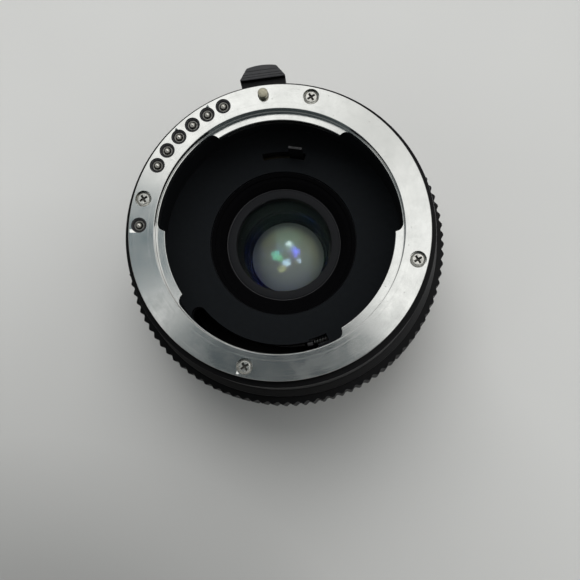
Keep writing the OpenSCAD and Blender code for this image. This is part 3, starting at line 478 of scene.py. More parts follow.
def helix(coil_r, wire_r, length, turns, sides=8, per_turn=20):
    """A coil spring's wire along +Z, from the origin."""
    bm = bmesh.new()
    bmesh.ops.create_circle(bm, cap_ends=True, segments=sides, radius=wire_r)
    bmesh.ops.rotate(bm, verts=bm.verts, cent=(0, 0, 0), matrix=Matrix.Rotation(math.pi / 2, 3, "X"))
    bmesh.ops.translate(bm, vec=(coil_r, 0, 0), verts=bm.verts)
    steps = round(turns * per_turn)
    bmesh.ops.spin(bm, geom=bm.faces[:], cent=(0, 0, 0), axis=(0, 0, 1), dvec=(0, 0, length / steps),
                   angle=turns * math.tau, steps=steps)
    bmesh.ops.recalc_face_normals(bm, faces=bm.faces)
    return bm


def dress(material, *nodes):
    """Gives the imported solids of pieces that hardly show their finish."""
    for node in nodes:
        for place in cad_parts[node].material_slots:
            place.material = material


deck_low = ring_low - 2.8
bush_top = flange - 0.25
nose_r = 0.56
nose_hole_r = nose_r + 0.06
shoulder_r = nose_r + 0.22
shoulder_top = flange - 2.3
shoulder_low = shoulder_top - 1
eyelet = (0.74, 0.98)
dish = (1.24, 1.03, 0.7)
bush_bore_r = shoulder_r + 0.06
bore_top = shoulder_top + 0.05
eyelet_top = bush_top - 0.2
dish_low = bush_top - 0.45
# Phenolic is a plain black with little gloss, and the tin on the eyelets a dull grey.
moulded_insulator = black_coat("moulded_phenolic", "#161618", "#232326", 0.08, 0.5, 0.01)
tin = metal("tinned_eyelet", "#8d8c88", "#5f5e5b", 0.4, 0.3, 0.5)
bush = turned([(bush_bore_r, deck_low), (bush_r, deck_low), (bush_r, bush_top), (dish[0], bush_top),
               (dish[1], eyelet_top - 0.1), (eyelet[1], eyelet_top), (eyelet[0], eyelet_top),
               (dish[2], dish_low), (nose_hole_r, dish_low), (nose_hole_r, bore_top),
               (bush_bore_r, bore_top)], 0.04, 48)
for face in bush.faces:
    middle = face.calc_center_median()
    face.material_index = int(eyelet[0] - 0.03 < middle.xy.length < eyelet[1] + 0.03 and middle.z > dish_low)
piece("contact_bushings", spread(bush, contact_places), "housing", "insulator", ["contact_bushes"],
      moulded_insulator, tin)

nose_top = flange + 0.3
contact_wire_r = 0.1
spring_low = deck_low + 0.02
spring_l = shoulder_low - 0.02 - spring_low
# The plated noses are the brightest spots on the ring's face; spring wire is a greyer, rougher steel.
contact_plate = metal("nickel_plated_bronze", "#f0eee8", "#cfccc2", 0.5, 0.1, 0.2)
spring_wire = metal("drawn_spring_steel", "#c9c9c6", "#9a9a97", 0.3, 0.25, 0.45)
for k, place in enumerate(contact_places, 1):
    pin = turned([(0, shoulder_low), (shoulder_r, shoulder_low), (shoulder_r, shoulder_top),
                  (nose_r, shoulder_top)] + arc(nose_r, (0, nose_top - nose_r), 0, 90, 8), steps=40)
    piece(f"sprung_contact_{k}", spread(pin, [place]), f"contact_{k}", "contact_nickel", [f"contact_pin_{k}"],
          contact_plate)
    wire = helix(shoulder_r - 2 * contact_wire_r, contact_wire_r, spring_l - 2 * contact_wire_r, 4)
    bmesh.ops.translate(wire, vec=(0, 0, spring_low + contact_wire_r), verts=wire.verts)
    spring = piece(f"contact_spring_{k}", spread(wire, [place]), "housing", "spring_steel",
                   ["contact_springs"], spring_wire)
    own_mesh(spring)

# Hidden parts: a green board and an amber film, both smooth.
board = black_coat("glass_fibre_board", "#0f3a22", "#1b5a35", 0.3, 0.4, 0.005)
flex = black_coat("polyimide_film", "#8a4a12", "#b0661d", 0.5, 0.3, 0.004)
dress(board, "contact_board", "rear_contact_board")
dress(flex, "flex_strip")
dress(spring_wire, "bayonet_leaf_springs")


# The barrel: two turned aluminium shells, anodised satin black, with a knurl-cut grip ring of the same metal
# between them. The front shell has a thin groove over its cone, and grub screws hold the rear one.
def ridged(low, high, inner_r, root_r, tip_r, count, bevel):
    """A ring with straight ridges all round, each with a flat tip and its ends bevelled."""
    phases = (1, 1, 0.5, 0, 0, 0.5)
    bm = bmesh.new()
    bmesh.ops.create_circle(bm, segments=count * len(phases), radius=1)
    bm.verts.ensure_lookup_table()
    loop = bm.verts[:]
    first = bm.edges[:]
    shape = [root_r + (tip_r - root_r) * phases[k % len(phases)] for k in range(len(loop))]

    def level(verts, radii, z):
        for vert, radius in zip(verts, radii):
            flat = vert.co.xy.normalized() * radius
            vert.co = (flat.x, flat.y, z)

    blunt = [min(radius, tip_r - bevel) for radius in shape]
    level(loop, blunt, low)
    edges = first
    for radii, z in ((shape, low + bevel), (shape, high - bevel), (blunt, high),
                     ([inner_r] * len(shape), high), ([inner_r] * len(shape), low)):
        made = bmesh.ops.extrude_edge_only(bm, edges=edges)["geom"]
        edges = [e for e in made if isinstance(e, bmesh.types.BMEdge)]
        order = sorted(corners(made), key=lambda v: math.atan2(v.co.y, v.co.x) % math.tau)
        start = sorted(zip(loop, radii), key=lambda pair: math.atan2(pair[0].co.y, pair[0].co.x) % math.tau)
        level(order, [radius for vert, radius in start], z)
    bmesh.ops.bridge_loops(bm, edges=first + edges)
    bmesh.ops.recalc_face_normals(bm, faces=bm.faces)
    return bm


def block(half_x, y0, y1, z0, z1):
    """A plain block under or across the lever, used as a cutter."""
    bm = bmesh.new()
    bmesh.ops.create_cube(bm, size=1)
    bmesh.ops.scale(bm, vec=(2 * half_x, y1 - y0, z1 - z0), verts=bm.verts)
    bmesh.ops.translate(bm, vec=(0, (y0 + y1) / 2, (z0 + z1) / 2), verts=bm.verts)
    return bm


barrel_r = ring_r + 1.1
cavity_r = barrel_r - 1.4
shell_r = barrel_r + 1.2
cone_top = flange - 11.6
cone_low = cone_top - 1.7
grip_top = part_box("grip_ring")[1].z / MM
grip_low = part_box("grip_ring")[0].z / MM
tip_r = shell_r + 1.6
root_r = tip_r - 0.5
grip_in = root_r - 2.2
sleeve_r = grip_in - 0.05
tail_r = cavity_r - 0.1
bore_r = cavity_r - 2
frame_low = flange - 14.9
tail_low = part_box("front_barrel")[0].z / MM
groove_w = 0.6
groove_deep = 0.35
slider_low = deck_low - 3
slider_t = 1.4
release_travel = 2
stem_half_w = 2.5
slot_room = 0.3
drill_room = 0.03

# Black anodising is nearly without colour and shows only a soft sheen where it is seen along its face.
anodised = black_coat("satin_black_anodised_aluminium", "#050506", "#0a0a0b", 0.06, 0.45, 0.006,
                      Specular_IOR_Level=0.1)
front_shell = turned([(collar_r + 0.1, deck_low), (collar_r + 0.1, ring_low), (barrel_r, ring_low),
                      (barrel_r, cone_top + groove_w), (barrel_r - groove_deep, cone_top + groove_w),
                      (barrel_r - groove_deep, cone_top), (barrel_r, cone_top), (shell_r, cone_low),
                      (shell_r, grip_top), (sleeve_r, grip_top), (sleeve_r, grip_low), (tail_r, grip_low),
                      (tail_r, tail_low), (bore_r, tail_low), (bore_r, frame_low), (cavity_r, frame_low),
                      (cavity_r, deck_low)], 0.14, 256)
slot_low = slider_low - release_travel - slot_room
slot_high = slider_low + slider_t + slot_room
front_shell = cut(front_shell, block(stem_half_w, cavity_r - past, barrel_r + past, slot_low, slot_high),
                  spread(rod(screw_r + drill_room, deck_low - past, ring_low + past), screw_places),
                  spread(rod(bush_r + bush_room, deck_low - past, ring_low + past), contact_places),
                  spread(rod(pin_r + pin_room, deck_low - past, ring_low + past), [(pitch_r, lock_az)]))
flanks = bpy.data.collections.new("flanks lit by the side lamp")
flanks.objects.link(piece("front_shell", front_shell, "housing", "barrel_black", ["front_barrel"], anodised))

grip_coat = black_coat("matt_black_anodised_knurl", "#050506", "#0a0a0b", 0.06, 0.55, 0.008,
                       Specular_IOR_Level=0.12)
flanks.objects.link(piece("grip", ridged(grip_low, grip_top, grip_in, root_r, tip_r, 100, 0.15), "housing",
                          "grip_black", ["grip_ring"], grip_coat))
side = lamp("side_lamp", picture_turn @ Vector((240, 60, 60)), (0, 0, 20), 160, 1.5)
side.light_linking.receiver_collection = flanks

rear_ring_t = 2
rear_ring_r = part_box("rear_mount_ring")[1].x / MM
rear_low_r = rear_ring_r + 0.2
rear_top_r = grip_in + 0.8
rear_bore_r = throat_r + 0.6
rear_deck = rear_ring_t + 2.2
rear_shell = turned([(rear_bore_r, rear_ring_t), (rear_low_r, rear_ring_t), (rear_top_r, grip_low),
                     (tail_r + 0.05, grip_low), (tail_r + 0.05, rear_deck),
                     (rear_bore_r, rear_deck)], 0.14, 256)
third_az = (30, 150, 270)
grub_r = 0.8
grub_z = (tail_low + grip_low) / 2


def outward(bm, azimuth, z):
    """Turns a mesh made along +Z so that it points out from the axis at an azimuth and a height."""
    move = (Matrix.Rotation(math.radians(azimuth), 4, "Z") @ Matrix.Translation((0, 0, z))
            @ Matrix.Rotation(math.pi / 2, 4, "Y"))
    bmesh.ops.transform(bm, matrix=move, verts=bm.verts)
    return bm


rear_shell = cut(rear_shell, *[outward(rod(grub_r + drill_room, tail_r - past, rear_top_r + past, 32),
                                       azimuth, grub_z) for azimuth in third_az])
piece("rear_shell", rear_shell, "housing", "barrel_black", ["rear_barrel"], anodised)
blued = metal("blackened_steel", "#2c2c2e", "#161617", 0.5, 0.3, 0.5)
dress(blued, "barrel_screws")


# The index beads: two red beads pressed into the barrel that show where a lens and a camera line up.
# They are moulded in a glossy plastic, a little domed.
bead_az = 152
bead_r = 0.9
bead_stem_r = 0.5
# Glossy red plastic: a clear, strong colour with a small highlight.
red = black_coat("moulded_red_plastic", "#a01414", "#c01e1c", 0.2, 0.22, 0.004, Coat_Weight=0.4)
beads = bmesh.new()
for surface_r, z in ((barrel_r, (ring_low + cone_top) / 2), ((rear_low_r + rear_top_r) / 2,
                                                             (rear_ring_t + grip_low) / 2)):
    bead = turned([(0, surface_r - bead_r), (bead_stem_r, surface_r - bead_r),
                   (bead_stem_r, surface_r + 0.05)] + arc(bead_r, (0, surface_r), 10, 90, 10), steps=40)
    mesh = bpy.data.meshes.new("bead")
    outward(bead, bead_az, z).to_mesh(mesh)
    bead.free()
    beads.from_mesh(mesh)
piece("alignment_beads", beads, "housing", "index_red", ["index_beads"], red)


# The lens release: a moulded lever on a steel slider, which carries the lock pin. A spring under the pin
# pushes them up; the pin's end and the lever's top are worn by use.
lever_half_w = 4.6
neck_half_w = 0.9 * lever_half_w
end_half_w = 0.66 * lever_half_w
crown_r = 2.6 * lever_half_w
lever_in = barrel_r + 0.3
lever_proud = 0.2
lever_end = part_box("release_lever")[1].y / MM + lever_proud
lever_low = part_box("release_lever")[0].z / MM
lever_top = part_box("release_lever")[1].z / MM
step_y = barrel_r + 0.45 * (lever_end - barrel_r)
step_deep = 1.1
shoulder_y = step_y + 0.3
line_w = 0.13
line_deep = 0.1
crown_mid = lever_end - crown_r
half_angle = math.degrees(math.asin(end_half_w / crown_r))
outline = [(neck_half_w, lever_in - past), (lever_half_w, step_y), (lever_half_w, shoulder_y)]
outline += arc(crown_r, (0, crown_mid), 90 - half_angle, 90 + half_angle, 10)
outline += [(-lever_half_w, shoulder_y), (-lever_half_w, step_y), (-neck_half_w, lever_in - past)]
thumb = bmesh.new()
foot = thumb.faces.new([thumb.verts.new((x, y, lever_low)) for x, y in outline])
body = bmesh.ops.extrude_face_region(thumb, geom=[foot])["geom"]
bmesh.ops.translate(thumb, vec=(0, 0, lever_top - lever_low), verts=corners(body))
bmesh.ops.recalc_face_normals(thumb, faces=thumb.faces)

wide = lever_half_w + past
lever_lines = [step_y + share * (lever_end - step_y) for share in (0.16, 0.34, 0.58)]
thumb = cut(thumb, rod(lever_in, lever_low - past, lever_top + past, 192),
            block(wide, 0, step_y, lever_top - step_deep, lever_top + past),
            block(stem_half_w - 0.15, 0, lever_in + 0.6 * (lever_end - lever_in) + 0.05, slider_low - 0.02,
                  slider_low + slider_t + 0.02))
thumb = cut(soften(thumb, 0.22, 35), *[block(wide, y, y + line_w, lever_top - line_deep, lever_top + past)
                                       for y in lever_lines])
# The faces below the top take the second, darker finish: painted shade.
for face in thumb.faces:
    face.material_index = int(face.calc_center_median().z < lever_top - 0.3)
# Polycarbonate: rubbed to a dark grey on top, where fingers press; the faces below are a darker copy, as
# painted shade.
lever_plastic = black_coat("worn_black_polycarbonate", "#202022", "#37373a", 0.12, 0.5, 0.014)
piece("release_thumb_lever", thumb, "release", "lever_black", ["release_lever"], lever_plastic,
      black_coat("black_polycarbonate", "#0a0a0b", "#111113", 0.12, 0.5, 0.01, Specular_IOR_Level=0.2))

pin_worn = 0.4
pin_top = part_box("lock_pin")[1].z / MM - pin_worn
slider_top = slider_low + slider_t
tail_pin_r = pin_r - 0.3
tail_pin_low = slider_low - 2
lock = turned([(0, tail_pin_low), (tail_pin_r, tail_pin_low), (tail_pin_r, slider_top), (pin_r, slider_top),
               (pin_r, pin_top), (0, pin_top)], 0.14, 48)
# The pin's nickel has worn to a yellowish, dull brass.
pin_brass = metal("worn_nickelled_brass", "#b4b09f", "#8d8876", 0.5, 0.3, 0.5)
piece("lens_lock_pin", spread(lock, [(pitch_r, lock_az)]), "release", "pin_steel", ["lock_pin"], pin_brass)

lock_wire_r = 0.15
baffle_low = flange - 13.3
lock_spring_l = slider_low - baffle_low
wire = helix(tail_pin_r + 0.35, lock_wire_r, lock_spring_l - 2 * lock_wire_r - 0.04, 6.5)
bmesh.ops.translate(wire, vec=(0, 0, baffle_low + lock_wire_r + 0.02), verts=wire.verts)
spring = piece("lock_return_spring", spread(wire, [(pitch_r, lock_az)]), "housing", "spring_steel",
               ["lock_spring"], spring_wire)
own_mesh(spring)
pressed_steel = metal("pressed_steel", "#7c7c7b", "#545453", 1.5, 0.35, 0.55)
dress(pressed_steel, "release_slider")
dress(nickel, "lever_screw", "frame_screws", "shroud_screws")


# The lens chamber: a thin black wall and a baffle plate under the ring, both sprayed with matt paint that
# keeps stray light down. The plate has slots for the two levers and a window for a spring.
wall_in = throat_r + 0.1
wall_out = collar_r - 0.05
floor = flange - 12.3
cell_r = 13.6
cell_flange_r = cell_r + 1.3
leaf_top = lug_low - 1.3
leaf_low = leaf_top - 0.4
leaf_deep = 0.5
arm_in = 18.2
arm_out = 19
arm_room = 0.3
stop_az = 75
stop_turn = 16
stop_w = 2.8
stop_half = math.degrees(math.asin(stop_w / 2 / arm_in))
coupling_az = 278.2
coupling_turn = 60
coupling_in = 21.35
coupling_out = 22.15
coupling_tip_w = 1.2
coupling_half = math.degrees(math.asin(coupling_tip_w / 2 / coupling_in))
slot_margin = 1.2
coupling_slot_in = coupling_in - 0.3
coupling_span = (coupling_az - coupling_turn - coupling_half - 2 * slot_margin,
                 coupling_az + coupling_half + 2 * slot_margin)
window_end = coupling_span[1] + 6
window_half_w = 0.7

# Matt paint: a flat charcoal with almost no highlight.
flock = black_coat("matt_black_paint", "#0c0e10", "#14171a", 0.09, 0.75, 0.012, Specular_IOR_Level=0.15)
wall = turned([(wall_in, floor), (wall_out, floor), (wall_out, lug_low), (wall_in, lug_low),
               (wall_in, leaf_top), (wall_in + leaf_deep, leaf_top), (wall_in + leaf_deep, leaf_low),
               (wall_in, leaf_low)], 0.05, 256)
piece("chamber_sleeve", wall, "housing", "baffle_black", ["chamber_wall"], flock)

slot_mid = (coupling_slot_in + wall_in) / 2
plate = turned([(cell_flange_r + 0.1, baffle_low), (wall_out, baffle_low), (wall_out, floor),
                (cell_flange_r + 0.1, floor)], 0.08, 256)
plate = cut(plate, sector(arm_in - arm_room, arm_out + arm_room, baffle_low - past, floor + past,
                          stop_az - stop_half - slot_margin, stop_az + stop_turn + stop_half + slot_margin),
            sector(coupling_slot_in, wall_in, baffle_low - past, floor + past, *coupling_span),
            spread(rod((wall_in - coupling_slot_in) / 2 - 0.01, baffle_low - past, floor + past, 48),
                   [(slot_mid, coupling_span[0])]),
            sector(coupling_in - window_half_w, coupling_in + window_half_w + 0.2, baffle_low - past,
                   floor + past, coupling_az, window_end))
piece("baffle", soften(plate, 0.05), "housing", "baffle_black", ["baffle_plate"], flock)
dress(black_coat("black_anodised_frame", "#0d0d0f", "#151518", 0.08, 0.6, 0.01), "inner_frame",
      "front_spacer", "middle_spacer", "rear_spacer")


# The linkage: two rings turn on the inner frame and carry bent levers through both mounts, one to stop the
# lens down and one to pass on its aperture setting. Rings and levers are blackened, and springs return them.
def strip(outline, width, azimuth, narrow=None):
    """A bent strip, from its side outline of (radius, height) and its width.

    What lies over narrow's height and radius is narrowed to its share of the width.
    """
    bm = bmesh.new()
    face = bm.faces.new([bm.verts.new((r, -width / 2, z)) for r, z in outline])
    other = bmesh.ops.extrude_face_region(bm, geom=[face])["geom"]
    bmesh.ops.translate(bm, vec=(0, width, 0), verts=corners(other))
    bmesh.ops.recalc_face_normals(bm, faces=bm.faces)
    if narrow:
        upper = [v for v in bm.verts if v.co.z > narrow[0] and v.co.x > narrow[1]]
        bmesh.ops.scale(bm, vec=(1, narrow[2], 1), verts=upper)
    bmesh.ops.rotate(bm, verts=bm.verts, cent=(0, 0, 0),
                     matrix=Matrix.Rotation(math.radians(azimuth), 3, "Z"))
    return soften(bm, 0.12)


lever_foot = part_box("stop_down_lever")[0].z / MM
stop_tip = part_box("stop_down_lever")[1].z / MM
coupling_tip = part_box("coupling_lever")[1].z / MM
coupling_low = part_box("coupling_ring")[0].z / MM
bridge = 0.8
coupling_w = 2.4
# Phosphated steel is a dark, rough grey that catches a little light on its tips.
dark_steel = metal("phosphated_steel", "#4a4a4b", "#2f2f30", 0.6, 0.35, 0.5)
piece("stop_down_arm", strip([(arm_in, lever_foot), (arm_out, lever_foot), (arm_out, stop_tip - 0.3),
                              (arm_out - 0.3, stop_tip), (arm_in, stop_tip)], stop_w, stop_az),
      "stop_down", "lever_steel", ["stop_down_lever"], dark_steel)
piece("aperture_arm", strip([(arm_in, lever_foot), (arm_out, lever_foot), (arm_out, coupling_low - bridge),
                             (coupling_out, coupling_low - bridge), (coupling_out, coupling_tip),
                             (coupling_in, coupling_tip), (coupling_in, coupling_low),
                             (arm_in, coupling_low)], coupling_w, coupling_az,
                            (coupling_low - 0.1, arm_out + 1, coupling_tip_w / coupling_w)),
      "coupling", "lever_steel", ["coupling_lever"], dark_steel)
dress(metal("blackened_brass", "#3d382c", "#26231c", 1.2, 0.35, 0.5), "stop_down_ring", "coupling_ring")
dress(black_coat("vulcanised_fibre", "#5a4432", "#6f5640", 0.2, 0.7, 0.01), "ring_spacer")
dress(spring_wire, "ring_clip")


def polar(radius, azimuth, z):
    """A point from its radius, azimuth and height."""
    return Vector((radius * math.cos(math.radians(azimuth)), radius * math.sin(math.radians(azimuth)), z))


coil_wire_r = 0.125
post_r = 0.35
coupling_spring_z = baffle_low - 0.6
coupling_post_az = 345
coupling_ends = (coupling_az + coupling_half + 0.5, coupling_post_az - 1.6)
spring_arc = math.radians(coupling_ends[1] - coupling_ends[0]) * coupling_in
wire = helix(0.42, coil_wire_r, spring_arc, 40, 8, 14)
for vert in wire.verts:
    swing = math.radians(coupling_ends[0]) + vert.co.z / coupling_in
    reach = coupling_in + vert.co.x
    vert.co = (reach * math.cos(swing), reach * math.sin(swing), coupling_spring_z + vert.co.y)
bmesh.ops.recalc_face_normals(wire, faces=wire.faces)
spring = mesh_piece("aperture_spring", wire, "spring_steel", ["coupling_spring"], spring_wire)
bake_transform(spring)

stop_spring_z = flange - 16.5
ear_r = arm_out + 0.8 + 1.4
ear_az = 128
stop_post_r = ear_r + 2.2
stop_post_az = 92
ear = polar(ear_r, ear_az, stop_spring_z)
post = polar(stop_post_r, stop_post_az, stop_spring_z)
pull = (post - ear).normalized()
hang = post_r + 2 * coil_wire_r
wire = helix(0.5, coil_wire_r, (post - ear).length - 2 * hang, 28, 8, 14)
hooked = Matrix.Translation(ear + hang * pull) @ pull.to_track_quat("Z", "Y").to_matrix().to_4x4()
bmesh.ops.transform(wire, matrix=hooked, verts=wire.verts)
spring = mesh_piece("stop_down_return_spring", wire, "spring_steel", ["stop_down_spring"], spring_wire)
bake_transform(spring)


# The lens cell: a turned tube that holds five glass elements between spacers and two threaded retainers.
# It is anodised matt black; the retainers are a greyer satin, and the cell's lip has a fine step.
edge_r = 11.5
glass_bore_r = edge_r + 0.1
rim_r = edge_r - 1.3
curves = (70, 22, 32, -32, 80, -34, 30, 40, -34)
steps = (1.5, 4.2, 5.2, 1.5, 3, 1.4, 1.2, 4.4)
vertex = [floor - 2.42]
for step in steps:
    vertex.append(vertex[-1] - step)


def surface_z(k, radius):
    """The height of a lens surface at a radius."""
    bend = abs(curves[k]) - math.sqrt(curves[k] ** 2 - radius ** 2)
    return vertex[k] - math.copysign(bend, curves[k])


cell_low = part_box("lens_cell")[0].z / MM
cell_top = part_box("lens_cell")[1].z / MM
thread_z = surface_z(0, rim_r) + 1.25
step_r = cell_flange_r - 0.9
# The cell's rim is a dull dark grey; its top face and mouth are a near-pure black, as painted shade.
cell_coat = black_coat("matt_black_anodised_cell", "#252527", "#323234", 0.07, 0.35, 0.006)
cell_step_z = cell_top - 0.3
thread_r = glass_bore_r + 0.3
cell = turned([(glass_bore_r, cell_low), (cell_r, cell_low), (cell_r, baffle_low),
               (cell_flange_r, baffle_low), (cell_flange_r, cell_top), (step_r, cell_top),
               (step_r, cell_step_z), (step_r - 0.8, cell_step_z), (thread_r, thread_z + 0.3),
               (thread_r, thread_z), (glass_bore_r, thread_z)], 0.12, 256)
# The top face and mouth take the near-pure black second finish: painted shade.
for face in cell.faces:
    middle = face.calc_center_median()
    face.material_index = int(middle.xy.length < cell_flange_r - 0.08 and middle.z > thread_z)
mouth_painted_shade = black_coat("cell_painted_shade", "#020203", "#060607", 0.1, 0.85, 0.01, Specular_IOR_Level=0.05)
piece("optical_cell", cell, "housing", "frame_black", ["lens_cell"], cell_coat, mouth_painted_shade)

retainer_r = glass_bore_r - 0.02
retainer_in = retainer_r - 1.75
retainer_coat = black_coat("satin_grey_anodised", "#0d0e11", "#131417", 0.07, 0.55, 0.006,
                           Specular_IOR_Level=0.2)
for name, node, z, up in (("front_retaining_ring", "front_retainer", surface_z(0, rim_r), 1),
                          ("rear_retaining_ring", "rear_retainer", surface_z(8, rim_r), -1)):
    clamp = turned([(retainer_in, z + 0.4 * up), (retainer_in, z + 1.25 * up), (retainer_r, z + 1.25 * up),
                    (retainer_r, z), (rim_r + 0.02, z)], 0.08, 256)
    piece(name, clamp, "housing", "retainer_black", [node], retainer_coat)


# The glass: polished crown and flint elements, each with a hard coating that dims and tints its
# reflections, and a ground edge painted black. Two of them are cemented together.
def lens_element(top, low, drop):
    """A glass element between two surfaces; drop lowers the upper one by a layer of cement."""
    radii = [rim_r * k / 20 for k in range(21)]
    outline = [(r, surface_z(top, r) - drop) for r in radii] + [(edge_r, surface_z(top, rim_r) - drop)]
    outline += [(edge_r, surface_z(low, rim_r))] + [(r, surface_z(low, r)) for r in reversed(radii)]
    bm = turned(outline, steps=128)
    for face in bm.faces:
        middle = face.calc_center_median()
        joined = 3 in (top, low) and abs(middle.z - surface_z(3, middle.xy.length)) < 0.1
        face.material_index = 1 if middle.xy.length > rim_r else 2 * joined
    return bm


# Coated glass looks clear, with faint tinted reflections; the cement and the painted edges don't show.
cement = finish("optical_cement", Transmission_Weight=1, IOR=1, Roughness=0)[0]
mirrors = bpy.data.collections.new("mirrors of the far lamps")
edge_paint = black_coat("black_edge_paint", "#050506", "#0b0b0d", 0.1, 0.6, 0.005)
for name, node, top, low, drop, index, tint in (
        ("front_lens", "front_element", 0, 1, 0, 1.78, "#3c4a48"),
        ("crown_lens", "crown_element", 2, 3, 0, 1.8, "#2a5448"),
        ("flint_lens", "flint_element", 3, 4, 0.02, 1.7, "#77704a"),
        ("negative_lens", "negative_element", 5, 6, 0, 1.52, "#303480"),
        ("rear_lens", "rear_element", 7, 8, 0, 1.8, "#7a7680")):
    glass, tree, shader, place = finish(name + "_glass", Transmission_Weight=1, IOR=index,
                                        Specular_Tint=linear(tint), Base_Color=linear("#f4f8f5"))
    dust = add(tree, "ShaderNodeTexVoronoi", {"Vector": place, "Scale": per(1.7)})
    haze = add(tree, "ShaderNodeMapRange", {"Value": dust.outputs["Distance"], "From Min": 0.02,
                                            "From Max": 0.05, "To Min": 0.4, "To Max": 0})
    tree.links.new(haze.outputs["Result"], shader.inputs["Roughness"])
    element = piece(name, lens_element(top, low, drop), "housing", "coated_glass", [node], glass,
                    edge_paint, cement)
    mirrors.objects.link(element)

far = 400
for x, y, size, watts, colour in ((1.04, 0.25, 19, 0.1, "#ffffff"), (2.42, -1.41, 28, 0.16, "#5052ff"),
                                  (-1.6, -2.24, 32, 0.1, "#7affd8"), (0.54, -3.75, 24, 0.12, "#c8d4ff"),
                                  (3.17, -3.37, 18, 0.035, "#e0e0ff"), (-0.56, -5.13, 24, 0.05, "#ffe08a")):
    spot = picture_turn @ Vector((x, y, 0))
    spot.z = surface_z(0, spot.xy.length)
    up = (spot - Vector((0, 0, vertex[0] - curves[0]))).normalized()
    glint = lamp("far_lamp", spot + far * (spot - eye).normalized().reflect(up), spot, size, watts)
    glint.data.shape = "DISK"
    glint.data.color = linear(colour)[:3]
    glint.light_linking.receiver_collection = mirrors

well = lamp("rear_well_light", (0, 0, -2.6), (0, 0, -7), 14, 0.00026)
well.data.shape = "DISK"
well.visible_camera = False
well.visible_glossy = False
well.visible_transmission = False


# The camera-side bayonet: the same chromed brass as the lens side, with a spigot and three outward lugs, four
# screws, seven flat gold-plated contacts in bushes, and a blind slot for the camera's own lock pin.
spigot_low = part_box("rear_mount_ring")[0].z / MM
spigot_out = lug_r - 0.3
spigot_in = spigot_out - 1.35
rear_lug_r = throat_r - 0.15
rear_lug_top = spigot_low + 1.3
lug_margin = 6.5
rear_screw_az = (63, 153, 243, 333)
rear_screw_places = [(pitch_r, azimuth) for azimuth in rear_screw_az]
rear_contact_r = 0.9
rear_bush_r = rear_contact_r + 0.3
lock_slot_r = 1.2
lock_slot_deep = 1.6
lock_slot_half = 1.25
rear_ring = turned([(spigot_in, spigot_low), (rear_lug_r, spigot_low), (rear_lug_r, rear_lug_top),
                    (spigot_out, rear_lug_top), (spigot_out, 0), (rear_ring_r, 0), (rear_ring_r, rear_ring_t),
                    (spigot_in, rear_ring_t)], 0.16, 256)
rear_gaps = [sector(spigot_out + 0.01, rear_lug_r + past, spigot_low - past, rear_lug_top + 0.5,
                    lug_spans[k - 1][1] - lug_margin, lug_spans[k][0] + lug_margin + (360 if k == 0 else 0))
             for k in range(3)]
rear_bore = turned([(0, -past), (counterbore_r, -past), (counterbore_r, counterbore_deep),
                    (screw_hole_r, counterbore_deep), (screw_hole_r, rear_ring_t + past),
                    (0, rear_ring_t + past)], steps=48)
rear_ring = cut(rear_ring, *rear_gaps, spread(rear_bore, rear_screw_places),
                spread(rod(rear_bush_r + bush_room, -past, rear_ring_t + past), contact_places),
                *[spread(rod(lock_slot_r, -past, lock_slot_deep), [(pitch_r, lock_az + end)])
                  for end in (-lock_slot_half, lock_slot_half)])
piece("camera_bayonet", soften(rear_ring, 0.08), "housing", "mount_steel", ["rear_mount_ring"], chrome)

rear_shank_l = rear_deck - counterbore_deep - 0.2
screws = cross_screw(screw_head_r, screw_head_h, screw_r, rear_shank_l)
bmesh.ops.rotate(screws, verts=screws.verts, cent=(0, 0, 0), matrix=Matrix.Rotation(math.pi, 3, "X"))
bmesh.ops.translate(screws, vec=(0, 0, screw_sunk), verts=screws.verts)
piece("camera_mount_screws", spread(screws, rear_screw_places), "housing", "screw_steel",
      ["rear_mount_screws"], nickel, painted_cross_shade)

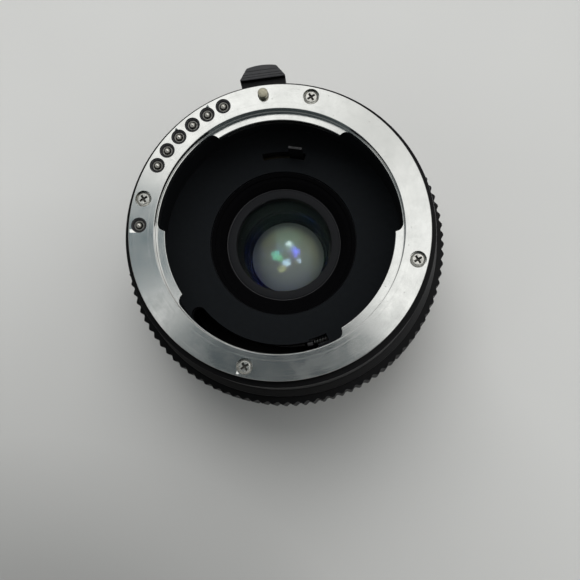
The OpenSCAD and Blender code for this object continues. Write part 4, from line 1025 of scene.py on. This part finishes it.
# Gold plate keeps its yellow and stays bright.
gold = metal("gold_plated_brass", "#e3bd6a", "#c19a4c", 0.6, 0.16, 0.32)
pad_low = -0.05
pad = turned([(0, pad_low), (rear_contact_r, pad_low), (rear_contact_r, rear_deck), (0, rear_deck)], 0.08, 40)
piece("camera_contacts", spread(pad, contact_places), "housing", "contact_gold", ["rear_contacts"], gold)
collar_in = rear_contact_r + 0.02
collar_low = 0.1
collar = turned([(collar_in, collar_low), (rear_bush_r, collar_low), (rear_bush_r, rear_deck),
                 (collar_in, rear_deck)], 0.04, 40)
piece("camera_contact_bushings", spread(collar, contact_places), "housing", "insulator",
      ["rear_contact_bushes"], moulded_insulator)


# The rear shroud: a moulded black guard round the levers, with a second ring round the rear glass. Three
# small screws hold it to the camera-side bayonet, and the converter stands on its rim.
guard_out = spigot_in - 0.1
guard_in = guard_out - 0.6
guard_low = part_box("rear_shroud")[0].z / MM
guard_top = rear_ring_t + 1.2
guard_flange_r = rear_bore_r - 0.2
guard_hole_r = 0.7
inner_in = cell_r + 0.9
inner_out = inner_in + 0.7
inner_low = -3.5
web = (-1, 0.2)
# ABS: a plain black moulding with a soft, even sheen.
plastic = black_coat("moulded_black_abs", "#111113", "#1c1c1f", 0.12, 0.5, 0.012)
shroud = turned([(guard_in, guard_low), (guard_out, guard_low), (guard_out, rear_ring_t),
                 (guard_flange_r, rear_ring_t), (guard_flange_r, guard_top), (guard_in, guard_top),
                 (guard_in, web[1]), (inner_in, web[1]), (inner_in, inner_low), (inner_out, inner_low),
                 (inner_out, web[0]), (guard_in, web[0])], 0.12, 256)
rear_half = math.degrees(math.asin(coupling_w / 2 / arm_in))
shroud = cut(shroud, sector(arm_in - arm_room, arm_out + arm_room, web[0] - past, web[1] + past,
                            stop_az - stop_half - slot_margin, stop_az + stop_turn + stop_half + slot_margin),
             sector(arm_in - arm_room, arm_out + arm_room, web[0] - past, web[1] + past,
                    coupling_az - coupling_turn - rear_half - slot_margin,
                    coupling_az + rear_half + slot_margin),
             spread(rod(guard_hole_r, rear_ring_t - past, guard_top + past, 32),
                    [((guard_out + guard_flange_r) / 2, azimuth) for azimuth in third_az]))
piece("lever_guard", soften(shroud, 0.08), "housing", "shroud_plastic", ["rear_shroud"], plastic)
